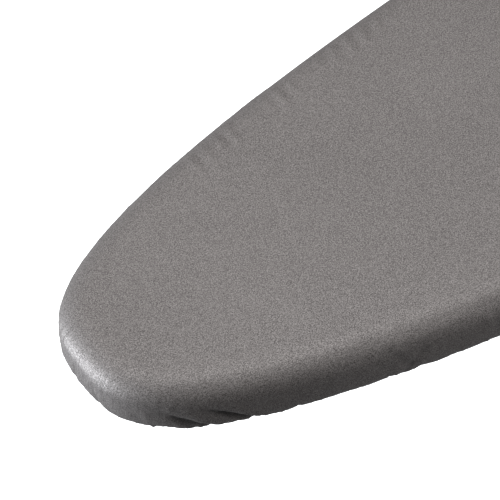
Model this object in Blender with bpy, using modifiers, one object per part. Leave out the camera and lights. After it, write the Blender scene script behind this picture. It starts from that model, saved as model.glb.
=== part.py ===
"""Ironing board on a folding scissor stand, with a friction lock that holds it at any height.

Metres, +Z up. X runs along the board with the nose at -X, and Y across it. The origin is on the floor,
under the middle of the board. The stand is modelled open at its full height.
"""

import math

import bmesh
import bpy
from mathutils import Matrix, Vector

# Board outline
BOARD_LENGTH = 1.370
BOARD_WIDTH = 0.380
TAPER_LENGTH = 1.100
TAPER_POWER = 1.37
NOSE_BLUNTNESS = 2.8
NOSE_SPAN = 0.120
TAIL_RADIUS = 0.055
NOSE_X = -BOARD_LENGTH / 2

# Heights in the board, from the ironing surface down
GAP = 0.0003
SURFACE_Z = 0.900
COVER_THICKNESS = 0.001
EDGE_RADIUS = 0.012
HEM_Z = 0.8565
HEM_RADIUS = 0.008
HEM_INSET = 0.034
PAD_TOP_Z = SURFACE_Z - COVER_THICKNESS - GAP
PAD_INSET = COVER_THICKNESS + GAP
PAD_BOTTOM_Z = 0.8870
DECK_THICKNESS = 0.0009
DECK_TOP_Z = PAD_BOTTOM_Z - GAP
DECK_BOTTOM_Z = DECK_TOP_Z - DECK_THICKNESS
DECK_INSET = 0.004
RIM_RADIUS = 0.0125
RIM_WALL = 0.0012
RIM_DRAIN_RADIUS = 0.003
RIM_INSET = 0.0145
RIM_Z = DECK_BOTTOM_Z - GAP - RIM_RADIUS
ELASTIC_RADIUS = 0.0015
ELASTIC_INSET = 0.0300
STRAP_THICKNESS = 0.002
STRAP_WIDTH = 0.018
STRAP_TOP_Z = DECK_BOTTOM_Z - GAP
STRAP_BOTTOM_Z = STRAP_TOP_Z - STRAP_THICKNESS
UNDER_STRAP_Z = STRAP_BOTTOM_Z - GAP

# Scissor stand: the two legs cross at the same distance from their top pivots, so the slide bar stays level
PIVOT_X = 0.585
PIVOT_Z = 0.838
LEG_UPPER = 0.550
LEG_LOWER = 0.600
FOOT_BASE = 0.013
LEG_ANGLE = math.asin((PIVOT_Z - FOOT_BASE) / (LEG_UPPER + LEG_LOWER))
SLIDE_X = PIVOT_X - 2 * LEG_UPPER * math.cos(LEG_ANGLE)
CROSSING_X = PIVOT_X - LEG_UPPER * math.cos(LEG_ANGLE)
CROSSING_Z = PIVOT_Z - LEG_UPPER * math.sin(LEG_ANGLE)

TUBE_RADIUS = 0.011
TUBE_WALL = 0.0015
OUTER_LEG_Y = 0.140
INNER_LEG_Y = 0.106
OUTER_TOP_LENGTH = 0.012
OUTER_FOOT_HALF = 0.195
INNER_FOOT_HALF = 0.165
FOOT_RADIUS = 0.014
FOOT_LENGTH = 0.045
FOOT_OVERLAP = 0.034
PLUG_HEAD = 0.002
PLUG_DEPTH = 0.006
PLUG_CLEARANCE = 0.0003
COPE_GAP = 0.0003
BOLT_RADIUS = 0.003
BOLT_HOLE_RADIUS = 0.0034
BOLT_HEAD_RADIUS = 0.0065
BOLT_HEAD_HEIGHT = 0.003
NUT_RADIUS = 0.0062
NUT_HEIGHT = 0.005
SPACER_RADIUS = 0.009

# Top hinge of the outer leg
HINGE_PIN_RADIUS = 0.004
HINGE_HOLE_RADIUS = 0.0043
EAR_THICKNESS = 0.002
EAR_GAP = 0.0015
BRACKET_LENGTH = 0.044
EAR_RADIUS = 0.013

# Slide bar, its glides and the rails that they run on
SLIDE_BAR_RADIUS = 0.008
SLIDE_BAR_HALF = 0.120
RAIL_Y = 0.042
RAIL_WIDTH = 0.021
RAIL_FLANGE = 0.005
RAIL_SHEET = 0.0012
RAIL_NOSE_X = -0.540
RAIL_TAIL_X = -0.150
GLIDE_RADIUS = 0.014
GLIDE_FLANGE_RADIUS = 0.017
GLIDE_FLANGE = 0.002
GLIDE_BORE_RADIUS = SLIDE_BAR_RADIUS + GAP
GLIDE_RUN_GAP = 0.0005
RAIL_BOTTOM_Z = PIVOT_Z + GLIDE_RADIUS + GLIDE_RUN_GAP

# Lock: a rod under the deck, and a carriage on the slide bar with a plate that tilts to grip the rod
ROD_RADIUS = 0.005
ROD_Z = PIVOT_Z + 0.020
ROD_NOSE_X = -0.5585
ROD_TAIL_X = -0.112
ROD_HOLE_RADIUS = 0.0054
ROD_BRACKET_NOSE_X = -0.5525
ROD_BRACKET_TAIL_X = -0.1180
ROD_BRACKET_SHEET = 0.0025
ROD_BRACKET_HALF = 0.014
ROD_BRACKET_FLANGE = 0.014
CARRIAGE_WALL = 0.002
CARRIAGE_HALF = 0.024
CARRIAGE_NOSE = -0.030
CARRIAGE_TAIL = 0.046
CARRIAGE_BOTTOM = -0.012
CARRIAGE_TOP = 0.033
PLATE_X = 0.016
PLATE_TILT = math.radians(6.0)
PLATE_THICKNESS = 0.003
PLATE_HALF = 0.014
PLATE_BOTTOM = -0.003
PLATE_SHOULDER = 0.0295
PLATE_TAB_TOP = 0.036
PLATE_TAB_HALF = 0.006
PLATE_FULCRUM = CARRIAGE_TOP - CARRIAGE_WALL / 2
SPRING_RADIUS = 0.0072
SPRING_WIRE_RADIUS = 0.0006
SPRING_TURNS = 6
SPRING_NOSE = CARRIAGE_NOSE + CARRIAGE_WALL + 0.0010
SPRING_TAIL = 0.0118
LEVER_X = 0.0265
LEVER_Z = -0.0055
LEVER_HALF = 0.005
LEVER_HUB_RADIUS = 0.0052
LEVER_PIN_RADIUS = 0.0022
LEVER_HOLE_RADIUS = 0.0026
LEVER_BEND_X = 0.028
LEVER_BEND_Z = -0.012
LEVER_DROOP = math.radians(12)
LEVER_ARM_LENGTH = 0.104
LEVER_THICKNESS = 0.004
GRIP_LENGTH = 0.075
GRIP_HALF_WIDTH = 0.013
GRIP_HALF_HEIGHT = 0.007

ROUND_SIDES = 20
SMALL_SIDES = 14
EXTRA_CUT = 0.004

COLLECTION_NAME = "Ironing board"
CUTTER_COLLECTION_NAME = "Cutters"

# colour, roughness, metallic
MATERIALS = {
    "metallised_cover": ((0.24, 0.23, 0.22), 0.45, 0.6),
    "felt_pad": ((0.72, 0.70, 0.64), 0.95, 0.0),
    "elastic": ((0.12, 0.12, 0.12), 0.8, 0.0),
    "painted_steel": ((0.70, 0.71, 0.72), 0.4, 0.2),
    "leg_paint": ((0.62, 0.63, 0.64), 0.35, 0.2),
    "zinc_steel": ((0.55, 0.56, 0.58), 0.3, 1.0),
    "black_plastic": ((0.03, 0.03, 0.03), 0.5, 0.0),
    "grey_plastic": ((0.16, 0.16, 0.17), 0.5, 0.0),
}


# Scene and object helpers


def clear_scene():
    for old in list(bpy.data.objects):
        bpy.data.objects.remove(old, do_unlink=True)


def new_collection(name, is_helper=False):
    collection = bpy.data.collections.new(name)
    bpy.context.scene.collection.children.link(collection)
    collection.hide_render = is_helper
    return collection


def new_materials():
    made = {}
    for name, (colour, roughness, metallic) in MATERIALS.items():
        material = bpy.data.materials.new(name)
        material.use_nodes = True
        shader = material.node_tree.nodes["Principled BSDF"]
        shader.inputs["Base Color"].default_value = (*colour, 1.0)
        shader.inputs["Roughness"].default_value = roughness
        shader.inputs["Metallic"].default_value = metallic
        made[name] = material
    return made


clear_scene()
PARTS = new_collection(COLLECTION_NAME)
CUTTERS = new_collection(CUTTER_COLLECTION_NAME, is_helper=True)
MATERIAL = new_materials()


def add_object(name, data, material=None, parent=None):
    """An object in the parts collection or, with no material, a cutter."""
    obj = bpy.data.objects.new(name, data)
    obj.parent = parent
    if material is None:
        CUTTERS.objects.link(obj)
        obj.hide_render = True
        obj.display_type = "WIRE"
    else:
        PARTS.objects.link(obj)
        data.materials.append(MATERIAL[material])
    return obj


def mesh_from(shape, name, smooth=True):
    bmesh.ops.recalc_face_normals(shape, faces=shape.faces)
    mesh = bpy.data.meshes.new(name)
    shape.to_mesh(mesh)
    shape.free()
    if smooth:
        mesh.shade_smooth()
        mesh.set_sharp_from_angle(angle=math.radians(40))
    return mesh


def add_pivot(name, location, parent=None, turn=0.0):
    """An empty on a joint's axis, turned about Y."""
    pivot = bpy.data.objects.new(name, None)
    PARTS.objects.link(pivot)
    pivot.empty_display_size = 0.03
    pivot.parent = parent
    pivot.location = location
    pivot.rotation_euler.y = turn
    return pivot


def add_cylinder(name, radius, start, end, material=None, parent=None, sides=ROUND_SIDES):
    start = Vector(start)
    end = Vector(end)
    shape = bmesh.new()
    bmesh.ops.create_cone(
        shape, cap_ends=True, segments=sides, radius1=radius, radius2=radius, depth=(end - start).length
    )
    obj = add_object(name, mesh_from(shape, name), material, parent)
    obj.location = (start + end) / 2
    obj.rotation_euler = (end - start).to_track_quat("Z", "Y").to_euler()
    return obj


def add_box(name, low, high, material=None, parent=None):
    low = Vector(low)
    high = Vector(high)
    shape = bmesh.new()
    bmesh.ops.create_cube(shape, size=1.0, matrix=Matrix.Diagonal((*(high - low), 1.0)))
    obj = add_object(name, mesh_from(shape, name, smooth=False), material, parent)
    obj.location = (low + high) / 2
    return obj


def add_side_profile(name, outline, half_width, material=None, parent=None, centre=(0, 0, 0)):
    """A flat outline of (x, z) points, given a width along Y by Solidify."""
    shape = bmesh.new()
    shape.faces.new([shape.verts.new((x, 0, z)) for x, z in outline])
    obj = add_object(name, mesh_from(shape, name), material, parent)
    obj.location = centre
    solidify = obj.modifiers.new("Width", "SOLIDIFY")
    solidify.thickness = 2 * half_width
    solidify.offset = 0
    return obj


def add_turned(name, profile, centre, material, parent=None, sides=ROUND_SIDES):
    """A profile of (radius, y) points turned about the Y axis through centre."""
    shape = bmesh.new()
    points = [shape.verts.new((radius, 0, y)) for radius, y in profile]
    for first, second in zip(points, points[1:] + points[:1]):
        shape.edges.new((first, second))
    mesh = bpy.data.meshes.new(name)
    shape.to_mesh(mesh)
    shape.free()
    obj = add_object(name, mesh, material, parent)
    obj.location = centre
    obj.rotation_euler.x = -math.pi / 2
    screw = obj.modifiers.new("Turn", "SCREW")
    screw.steps = sides
    screw.render_steps = sides
    screw.use_merge_vertices = True
    screw.merge_threshold = 0.00001
    return obj


def cut(obj, *cutters):
    for cutter in cutters:
        boolean = obj.modifiers.new("Cut " + cutter.name, "BOOLEAN")
        boolean.operation = "DIFFERENCE"
        boolean.object = cutter


def join(obj, *others):
    """Boolean union with helper shapes."""
    for other in others:
        boolean = obj.modifiers.new("Join " + other.name, "BOOLEAN")
        boolean.operation = "UNION"
        boolean.object = other


def add_tube(name, start, end, radius, material, parent):
    """A straight tube with open ends."""
    start = Vector(start)
    end = Vector(end)
    past = (end - start).normalized() * EXTRA_CUT
    tube = add_cylinder(name, radius, start, end, material, parent)
    bore = add_cylinder(name + "_bore", radius - TUBE_WALL, start - past, end + past, parent=parent)
    cut(tube, bore)
    return tube


def arc(centre, radius, first, last, steps):
    """(x, z) points on an arc, with its angles in degrees."""
    angles = [math.radians(first + (last - first) * i / steps) for i in range(steps + 1)]
    return [(centre[0] + radius * math.cos(a), centre[1] + radius * math.sin(a)) for a in angles]


# Board outline


def half_width(s):
    """Half the board's width at distance s from the tip of its nose."""
    taper = 1 - min(s / TAPER_LENGTH, 1)
    width = BOARD_WIDTH / 2 * (1 - taper**TAPER_POWER) ** (1 / NOSE_BLUNTNESS)
    into_corner = max(s - (BOARD_LENGTH - TAIL_RADIUS), 0)
    return width - TAIL_RADIUS + math.sqrt(max(TAIL_RADIUS**2 - into_corner**2, 0))


def outline_stations():
    """Distances from the nose: close together round the nose and the tail corners."""
    nose_steps, side_steps, corner_steps = 9, 9, 5
    nose = [NOSE_SPAN * (i / nose_steps) ** NOSE_BLUNTNESS for i in range(nose_steps)]
    side_end = BOARD_LENGTH - TAIL_RADIUS
    side = [NOSE_SPAN + (side_end - NOSE_SPAN) * (i / side_steps) ** 1.3 for i in range(side_steps)]
    corner = [side_end + TAIL_RADIUS * math.sin(math.pi / 2 * i / corner_steps) for i in range(corner_steps + 1)]
    return nose + side + corner


def board_outline(inset=0.0):
    """Points round the board, anticlockwise from the nose seen from above, moved inwards by inset."""
    right = [Vector((NOSE_X + s, -half_width(s))) for s in outline_stations()]
    left = [Vector((p.x, -p.y)) for p in reversed(right[1:])]
    loop = right + left
    moved = []
    for i, point in enumerate(loop):
        along = (loop[(i + 1) % len(loop)] - point).normalized() + (point - loop[i - 1]).normalized()
        inwards = Vector((-along.y, along.x)).normalized()
        moved.append(point + inwards * inset)
    return moved


def board_rings(shape, profile):
    """Rings round the board at each (inset, z) of a profile, joined by faces."""
    rings = [[shape.verts.new((p.x, p.y, z)) for p in board_outline(inset)] for inset, z in profile]
    for upper, lower in zip(rings, rings[1:]):
        for i in range(len(upper)):
            shape.faces.new((upper[i - 1], upper[i], lower[i], lower[i - 1]))
    return rings


def edge_round(inset, top_z, radius, steps=3):
    """The rounded top edge of a layer, from its top face out and down to its side."""
    angles = [math.pi / 2 * i / steps for i in range(steps + 1)]
    return [(inset + radius * (1 - math.sin(a)), top_z - radius * (1 - math.cos(a))) for a in angles]


# Board


def make_cover():
    profile = edge_round(0.0, SURFACE_Z, EDGE_RADIUS)
    turn = [math.pi / 2 * i / 2 for i in range(3)]
    for a in turn:
        profile.append((HEM_RADIUS * (1 - math.cos(a)), HEM_Z + HEM_RADIUS * (1 - math.sin(a))))
    profile.append((HEM_INSET, HEM_Z))
    shape = bmesh.new()
    rings = board_rings(shape, profile)
    shape.faces.new(rings[0])
    mesh = mesh_from(shape, "cover")
    cover = add_object("cover", mesh, "metallised_cover")
    solidify = cover.modifiers.new("Cloth", "SOLIDIFY")
    solidify.thickness = COVER_THICKNESS
    solidify.offset = -1
    solidify.use_even_offset = True


def make_pad():
    profile = edge_round(PAD_INSET, PAD_TOP_Z, EDGE_RADIUS - PAD_INSET)
    profile.append((PAD_INSET, PAD_BOTTOM_Z))
    shape = bmesh.new()
    rings = board_rings(shape, profile)
    shape.faces.new(rings[0])
    shape.faces.new(rings[-1])
    add_object("pad", mesh_from(shape, "pad"), "felt_pad")


def make_vent_cutter():
    """Rows of six-sided vents through the deck, all in one cutter."""
    row_spacing, pitch, length, width, border = 0.056, 0.084, 0.068, 0.044, 0.034
    shape = bmesh.new()
    for row in range(-2, 3):
        y = row * row_spacing
        first = pitch / 2 if row % 2 else 0.0
        for column in range(int(BOARD_LENGTH / pitch)):
            x = NOSE_X + 0.075 + first + column * pitch
            near_nose = half_width(x - length / 2 - NOSE_X) - border < abs(y) + width / 2
            if near_nose or x + length / 2 > BOARD_LENGTH / 2 - border:
                continue
            place = Matrix.Translation((x, y, DECK_TOP_Z)) @ Matrix.Diagonal((length, width, 1, 1))
            bmesh.ops.create_cone(
                shape, cap_ends=True, segments=6, radius1=0.5, radius2=0.5, depth=4 * EXTRA_CUT, matrix=place
            )
    return add_object("deck_vents", mesh_from(shape, "deck_vents", smooth=False))


def make_deck():
    shape = bmesh.new()
    rings = board_rings(shape, [(DECK_INSET, DECK_TOP_Z), (DECK_INSET, DECK_BOTTOM_Z)])
    shape.faces.new(rings[0])
    shape.faces.new(rings[1])
    deck = add_object("mesh_top", mesh_from(shape, "mesh_top", smooth=False), "painted_steel")
    cut(deck, make_vent_cutter())


def make_loop(name, inset, z, radius, resolution, material=None):
    """A closed round bar that follows the board's outline."""
    curve = bpy.data.curves.new(name, "CURVE")
    curve.dimensions = "3D"
    spline = curve.splines.new("POLY")
    points = board_outline(inset)
    spline.points.add(len(points) - 1)
    for target, point in zip(spline.points, points):
        target.co = (point.x, point.y, z, 1)
    spline.use_cyclic_u = True
    curve.bevel_depth = radius
    curve.bevel_resolution = resolution
    return add_object(name, curve, material)


def made_mesh(curve_object):
    """Replaces a curve object with a mesh of the same shape, so that it can be cut or can cut."""
    bpy.context.view_layer.update()
    graph = bpy.context.evaluated_depsgraph_get()
    mesh = bpy.data.meshes.new_from_object(curve_object.evaluated_get(graph))
    shape = bmesh.new()
    shape.from_mesh(mesh)
    bmesh.ops.remove_doubles(shape, verts=shape.verts, dist=0.000001)
    bmesh.ops.recalc_face_normals(shape, faces=shape.faces)
    shape.to_mesh(mesh)
    shape.free()
    name = curve_object.name
    collection = curve_object.users_collection[0]
    is_cutter = curve_object.hide_render
    place = curve_object.matrix_world.copy()
    bpy.data.objects.remove(curve_object, do_unlink=True)
    obj = bpy.data.objects.new(name, mesh)
    obj.matrix_world = place
    collection.objects.link(obj)
    obj.hide_render = is_cutter
    obj.display_type = "WIRE" if is_cutter else "TEXTURED"
    return obj


def make_rim():
    """A bent tube round the deck, with a drain hole at the nose and one at the tail."""
    rim = made_mesh(make_loop("rim", RIM_INSET, RIM_Z, RIM_RADIUS, 3, "painted_steel"))
    bore = made_mesh(make_loop("rim_bore", RIM_INSET, RIM_Z, RIM_RADIUS - RIM_WALL, 3))
    cut(rim, bore)
    for end, x in (("nose", NOSE_X + RIM_INSET), ("tail", BOARD_LENGTH / 2 - RIM_INSET)):
        drain_start = (x, 0, RIM_Z - RIM_RADIUS - EXTRA_CUT)
        drain = add_cylinder(f"rim_drain_{end}", RIM_DRAIN_RADIUS, drain_start, (x, 0, RIM_Z), sides=SMALL_SIDES)
        cut(rim, drain)


def inner_half_width(x):
    """Half the space between the rim's two sides at x."""
    slope = (half_width(x - NOSE_X + 0.001) - half_width(x - NOSE_X - 0.001)) / 0.002
    rim_reach = (RIM_INSET + RIM_RADIUS) * math.hypot(1, slope)
    return half_width(x - NOSE_X) - rim_reach


def make_straps():
    places = (ROD_BRACKET_NOSE_X, ROD_BRACKET_TAIL_X, 0.245, PIVOT_X)
    for number, x in enumerate(places, start=1):
        reach = inner_half_width(x - STRAP_WIDTH / 2) - 2 * GAP
        low = (x - STRAP_WIDTH / 2, -reach, STRAP_BOTTOM_Z)
        high = (x + STRAP_WIDTH / 2, reach, STRAP_TOP_Z)
        add_box(f"cross_strap_{number}", low, high, "painted_steel")


def make_rail(name, y):
    """A hat section: two flanges under the straps and a web at the bottom for the glide to run on."""
    half = (RAIL_WIDTH - RAIL_SHEET) / 2
    top = UNDER_STRAP_Z - RAIL_SHEET / 2
    bottom = RAIL_BOTTOM_Z + RAIL_SHEET / 2
    corner = 0.002
    section = [(-half - RAIL_FLANGE, top), (-half, top), (-half, bottom + corner), (-half + corner, bottom)]
    section += [(-across, z) for across, z in reversed(section)]
    shape = bmesh.new()
    ends = [[shape.verts.new((x, y + across, z)) for across, z in section] for x in (RAIL_NOSE_X, RAIL_TAIL_X)]
    for i in range(len(section) - 1):
        shape.faces.new((ends[0][i], ends[0][i + 1], ends[1][i + 1], ends[1][i]))
    rail = add_object(name, mesh_from(shape, name, smooth=False), "painted_steel")
    solidify = rail.modifiers.new("Sheet", "SOLIDIFY")
    solidify.thickness = RAIL_SHEET
    solidify.offset = 0
    solidify.use_even_offset = True


def make_hinge_bracket(side, sign):
    """Two ears under the tail strap, bent from one sheet, with the leg's top between them."""
    top = UNDER_STRAP_Z - PIVOT_Z
    half = BRACKET_LENGTH / 2
    outline = [(half, top), (half, top - 0.010)] + arc((0, 0), EAR_RADIUS, -20, -160, 8)
    outline += [(-half, top - 0.010), (-half, top)]
    room = TUBE_RADIUS + EAR_GAP
    centre = Vector((PIVOT_X, sign * OUTER_LEG_Y, PIVOT_Z))
    name = f"hinge_bracket_{side}"
    bracket = add_side_profile(name, outline, room + EAR_THICKNESS, "painted_steel", centre=centre)
    space_low = centre - Vector((half + EXTRA_CUT, room, EAR_RADIUS + EXTRA_CUT))
    space_high = centre + Vector((half + EXTRA_CUT, room, top - EAR_THICKNESS))
    space = add_box(name + "_space", space_low, space_high)
    reach = Vector((0, room + EAR_THICKNESS + EXTRA_CUT, 0))
    hole = add_cylinder(name + "_hole", HINGE_HOLE_RADIUS, centre - reach, centre + reach)
    cut(bracket, space, hole)


def make_hinge_pin(side, sign):
    """A rivet through both ears, with a head on each side."""
    half = TUBE_RADIUS + EAR_GAP + EAR_THICKNESS + GAP
    head_radius, head_height = 0.007, 0.0018
    profile = [(0, half + head_height), (head_radius * 0.7, half + head_height), (head_radius, half)]
    profile += [(HINGE_PIN_RADIUS, half), (HINGE_PIN_RADIUS, -half), (head_radius, -half)]
    profile += [(head_radius * 0.7, -half - head_height), (0, -half - head_height)]
    centre = (PIVOT_X, sign * OUTER_LEG_Y, PIVOT_Z)
    add_turned(f"hinge_pin_{side}", profile, centre, "zinc_steel", sides=SMALL_SIDES)


def make_rod_bracket(name, x, flange_side):
    """An angle plate that hangs from a strap and holds one end of the lock rod."""
    bottom = ROD_Z - 0.0052
    half_sheet = ROD_BRACKET_SHEET / 2
    flange_end = flange_side * ROD_BRACKET_FLANGE
    outline = [(-flange_side * half_sheet, bottom), (flange_side * half_sheet, bottom)]
    outline += [(flange_side * half_sheet, UNDER_STRAP_Z - ROD_BRACKET_SHEET)]
    outline += [(flange_end, UNDER_STRAP_Z - ROD_BRACKET_SHEET), (flange_end, UNDER_STRAP_Z)]
    outline += [(-flange_side * half_sheet, UNDER_STRAP_Z)]
    bracket = add_side_profile(name, outline, ROD_BRACKET_HALF, "painted_steel", centre=(x, 0, 0))
    past = EXTRA_CUT
    hole = add_cylinder(name + "_hole", ROD_HOLE_RADIUS, (x - past, 0, ROD_Z), (x + past, 0, ROD_Z))
    notch_low = (x - past, -ROD_HOLE_RADIUS, bottom - past)
    notch = add_box(name + "_notch", notch_low, (x + past, ROD_HOLE_RADIUS, ROD_Z))
    cut(bracket, hole, notch)


def make_board():
    make_cover()
    make_pad()
    make_deck()
    make_rim()
    elastic_z = HEM_Z + COVER_THICKNESS + GAP + ELASTIC_RADIUS
    make_loop("hem_elastic", ELASTIC_INSET, elastic_z, ELASTIC_RADIUS, 1, "elastic")
    make_straps()
    for side, sign in (("left", 1), ("right", -1)):
        make_rail(f"guide_rail_{side}", sign * RAIL_Y)
        make_hinge_bracket(side, sign)
        make_hinge_pin(side, sign)
    make_rod_bracket("rod_bracket_nose", ROD_BRACKET_NOSE_X, 1)
    make_rod_bracket("rod_bracket_tail", ROD_BRACKET_TAIL_X, -1)
    add_cylinder("lock_rod", ROD_RADIUS, (ROD_NOSE_X, 0, ROD_Z), (ROD_TAIL_X, 0, ROD_Z), "zinc_steel")


# Legs: modelled along X in the frame of a pivot empty that is turned to the leg's angle


def cross_hole(name, x, y, radius, parent):
    reach = TUBE_RADIUS + EXTRA_CUT
    return add_cylinder(name, radius, (x, y - reach, 0), (x, y + reach, 0), parent=parent, sides=SMALL_SIDES)


def cope(name, x, radius, half_length, parent):
    """The round of a cross bar, plus a gap, that a tube's end is shaped to."""
    return add_cylinder(name, radius + COPE_GAP, (x, -half_length, 0), (x, half_length, 0), parent=parent)


def make_plug(name, centre, outwards, parent):
    """A plastic plug in a tube's end, with a domed head; outwards is the direction that the tube opens in."""
    centre = Vector(centre)
    outwards = Vector(outwards)
    tube_radius = SLIDE_BAR_RADIUS if outwards.y else TUBE_RADIUS
    spigot_radius = tube_radius - TUBE_WALL - PLUG_CLEARANCE
    profile = [(0, PLUG_HEAD), (tube_radius * 0.75, PLUG_HEAD), (tube_radius, PLUG_HEAD * 0.5), (tube_radius, GAP)]
    profile += [(spigot_radius, GAP), (spigot_radius, -PLUG_DEPTH), (0, -PLUG_DEPTH)]
    plug = add_turned(name, profile, centre, "black_plastic", parent, sides=ROUND_SIDES)
    plug.rotation_euler = outwards.to_track_quat("Z", "Y").to_euler()
    return plug


def foot_outline():
    """A foot's section: round over the bar and flat on the floor."""
    chamfer = 0.002
    top = arc((0, 0), FOOT_RADIUS, 0, 180, 10)
    base = [(-FOOT_RADIUS, -FOOT_BASE + chamfer), (-FOOT_RADIUS + chamfer, -FOOT_BASE)]
    base += [(FOOT_RADIUS - chamfer, -FOOT_BASE), (FOOT_RADIUS, -FOOT_BASE + chamfer)]
    return top + base


def make_feet(prefix, x, bar_half, turn, parent):
    """Plastic feet over both ends of a foot bar; turn keeps their bases level."""
    for side, sign in (("left", 1), ("right", -1)):
        name = f"{prefix}_foot_{side}"
        inner_end = bar_half - FOOT_OVERLAP
        middle = sign * (inner_end + FOOT_LENGTH / 2)
        foot = add_side_profile(name, foot_outline(), FOOT_LENGTH / 2, "black_plastic", parent, (x, middle, 0))
        foot.rotation_euler.y = turn
        bore_start = (x, sign * (inner_end - EXTRA_CUT), 0)
        bore_end = (x, sign * (bar_half + GAP), 0)
        bore = add_cylinder(name + "_bore", TUBE_RADIUS + GAP, bore_start, bore_end, parent=parent)
        cut(foot, bore)


def make_outer_leg():
    pivot = add_pivot("outer_leg_pivot", (PIVOT_X, 0, PIVOT_Z), turn=-LEG_ANGLE)
    foot_x = -(LEG_UPPER + LEG_LOWER)
    foot_cope = cope("outer_foot_cope", foot_x, TUBE_RADIUS, OUTER_FOOT_HALF, pivot)
    for side, sign in (("left", 1), ("right", -1)):
        y = sign * OUTER_LEG_Y
        name = f"outer_leg_{side}"
        leg = add_tube(name, (OUTER_TOP_LENGTH, y, 0), (foot_x, y, 0), TUBE_RADIUS, "leg_paint", pivot)
        hinge_hole = cross_hole(name + "_hinge_hole", 0, y, HINGE_HOLE_RADIUS, pivot)
        bolt_hole = cross_hole(name + "_bolt_hole", -LEG_UPPER, y, BOLT_HOLE_RADIUS, pivot)
        cut(leg, hinge_hole, bolt_hole, foot_cope)
        make_plug(f"outer_plug_{side}", (OUTER_TOP_LENGTH, y, 0), (1, 0, 0), pivot)
        make_crossing(side, sign, pivot)
    bar_start = (foot_x, -OUTER_FOOT_HALF, 0)
    bar_end = (foot_x, OUTER_FOOT_HALF, 0)
    add_tube("outer_foot_bar", bar_start, bar_end, TUBE_RADIUS, "leg_paint", pivot)
    make_feet("outer", foot_x, OUTER_FOOT_HALF, LEG_ANGLE, pivot)


def make_crossing(side, sign, pivot):
    """Bolt, nut and spacer where the two legs of one side cross; they stay with the outer leg."""
    head_start = sign * (OUTER_LEG_Y + TUBE_RADIUS + GAP)
    head_end = head_start + sign * BOLT_HEAD_HEIGHT
    nut_start = sign * (INNER_LEG_Y - TUBE_RADIUS - GAP)
    nut_end = nut_start - sign * NUT_HEIGHT
    shank_end = nut_end - sign * 0.002
    x = -LEG_UPPER
    bolt = add_cylinder(
        f"crossing_bolt_{side}", BOLT_RADIUS, (x, shank_end, 0), (x, head_start + sign * 0.001, 0),
        "zinc_steel", pivot, SMALL_SIDES,
    )
    head = add_cylinder(
        f"crossing_bolt_{side}_head", BOLT_HEAD_RADIUS, (x, head_start, 0), (x, head_end, 0),
        parent=pivot, sides=SMALL_SIDES,
    )
    join(bolt, head)
    nut = add_cylinder(
        f"crossing_nut_{side}", NUT_RADIUS, (x, nut_start, 0), (x, nut_end, 0), "zinc_steel", pivot, 6
    )
    gap_start = sign * (INNER_LEG_Y + TUBE_RADIUS + GAP)
    gap_end = sign * (OUTER_LEG_Y - TUBE_RADIUS - GAP)
    spacer = add_cylinder(
        f"crossing_spacer_{side}", SPACER_RADIUS, (x, gap_start, 0), (x, gap_end, 0),
        "black_plastic", pivot, SMALL_SIDES,
    )
    bore_start = (x, shank_end - sign * EXTRA_CUT, 0)
    bore_end = (x, head_start - sign * TUBE_RADIUS, 0)
    bore = add_cylinder(
        f"crossing_{side}_bore", BOLT_RADIUS + GAP, bore_start, bore_end, parent=pivot, sides=SMALL_SIDES
    )
    cut(nut, bore)
    cut(spacer, bore)


def make_glide(name, y, parent):
    """A spool that runs on the bottom of a rail, with flanges beside it."""
    half_run = RAIL_WIDTH / 2 + 0.001
    half = half_run + GLIDE_FLANGE
    profile = [(GLIDE_BORE_RADIUS, half), (GLIDE_FLANGE_RADIUS, half), (GLIDE_FLANGE_RADIUS, half_run)]
    profile += [(GLIDE_RADIUS, half_run), (GLIDE_RADIUS, -half_run), (GLIDE_FLANGE_RADIUS, -half_run)]
    profile += [(GLIDE_FLANGE_RADIUS, -half), (GLIDE_BORE_RADIUS, -half)]
    add_turned(name, profile, (-LEG_UPPER, y, 0), "grey_plastic", parent)


def make_inner_leg():
    pivot = add_pivot("inner_leg_pivot", (CROSSING_X, 0, CROSSING_Z), turn=LEG_ANGLE)
    foot_cope = cope("inner_foot_cope", LEG_LOWER, TUBE_RADIUS, INNER_FOOT_HALF, pivot)
    slide_cope = cope("slide_bar_cope", -LEG_UPPER, SLIDE_BAR_RADIUS, SLIDE_BAR_HALF + EXTRA_CUT, pivot)
    for side, sign in (("left", 1), ("right", -1)):
        y = sign * INNER_LEG_Y
        name = f"inner_leg_{side}"
        leg = add_tube(name, (-LEG_UPPER, y, 0), (LEG_LOWER, y, 0), TUBE_RADIUS, "leg_paint", pivot)
        bolt_hole = cross_hole(name + "_bolt_hole", 0, y, BOLT_HOLE_RADIUS, pivot)
        cut(leg, bolt_hole, foot_cope, slide_cope)
        make_plug(f"slide_plug_{side}", (-LEG_UPPER, sign * SLIDE_BAR_HALF, 0), (0, sign, 0), pivot)
        make_glide(f"glide_{side}", sign * RAIL_Y, pivot)
    slide_start = (-LEG_UPPER, -SLIDE_BAR_HALF, 0)
    slide_end = (-LEG_UPPER, SLIDE_BAR_HALF, 0)
    add_tube("slide_bar", slide_start, slide_end, SLIDE_BAR_RADIUS, "zinc_steel", pivot)
    bar_start = (LEG_LOWER, -INNER_FOOT_HALF, 0)
    bar_end = (LEG_LOWER, INNER_FOOT_HALF, 0)
    add_tube("inner_foot_bar", bar_start, bar_end, TUBE_RADIUS, "leg_paint", pivot)
    make_feet("inner", LEG_LOWER, INNER_FOOT_HALF, -LEG_ANGLE, pivot)


# Lock


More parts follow.
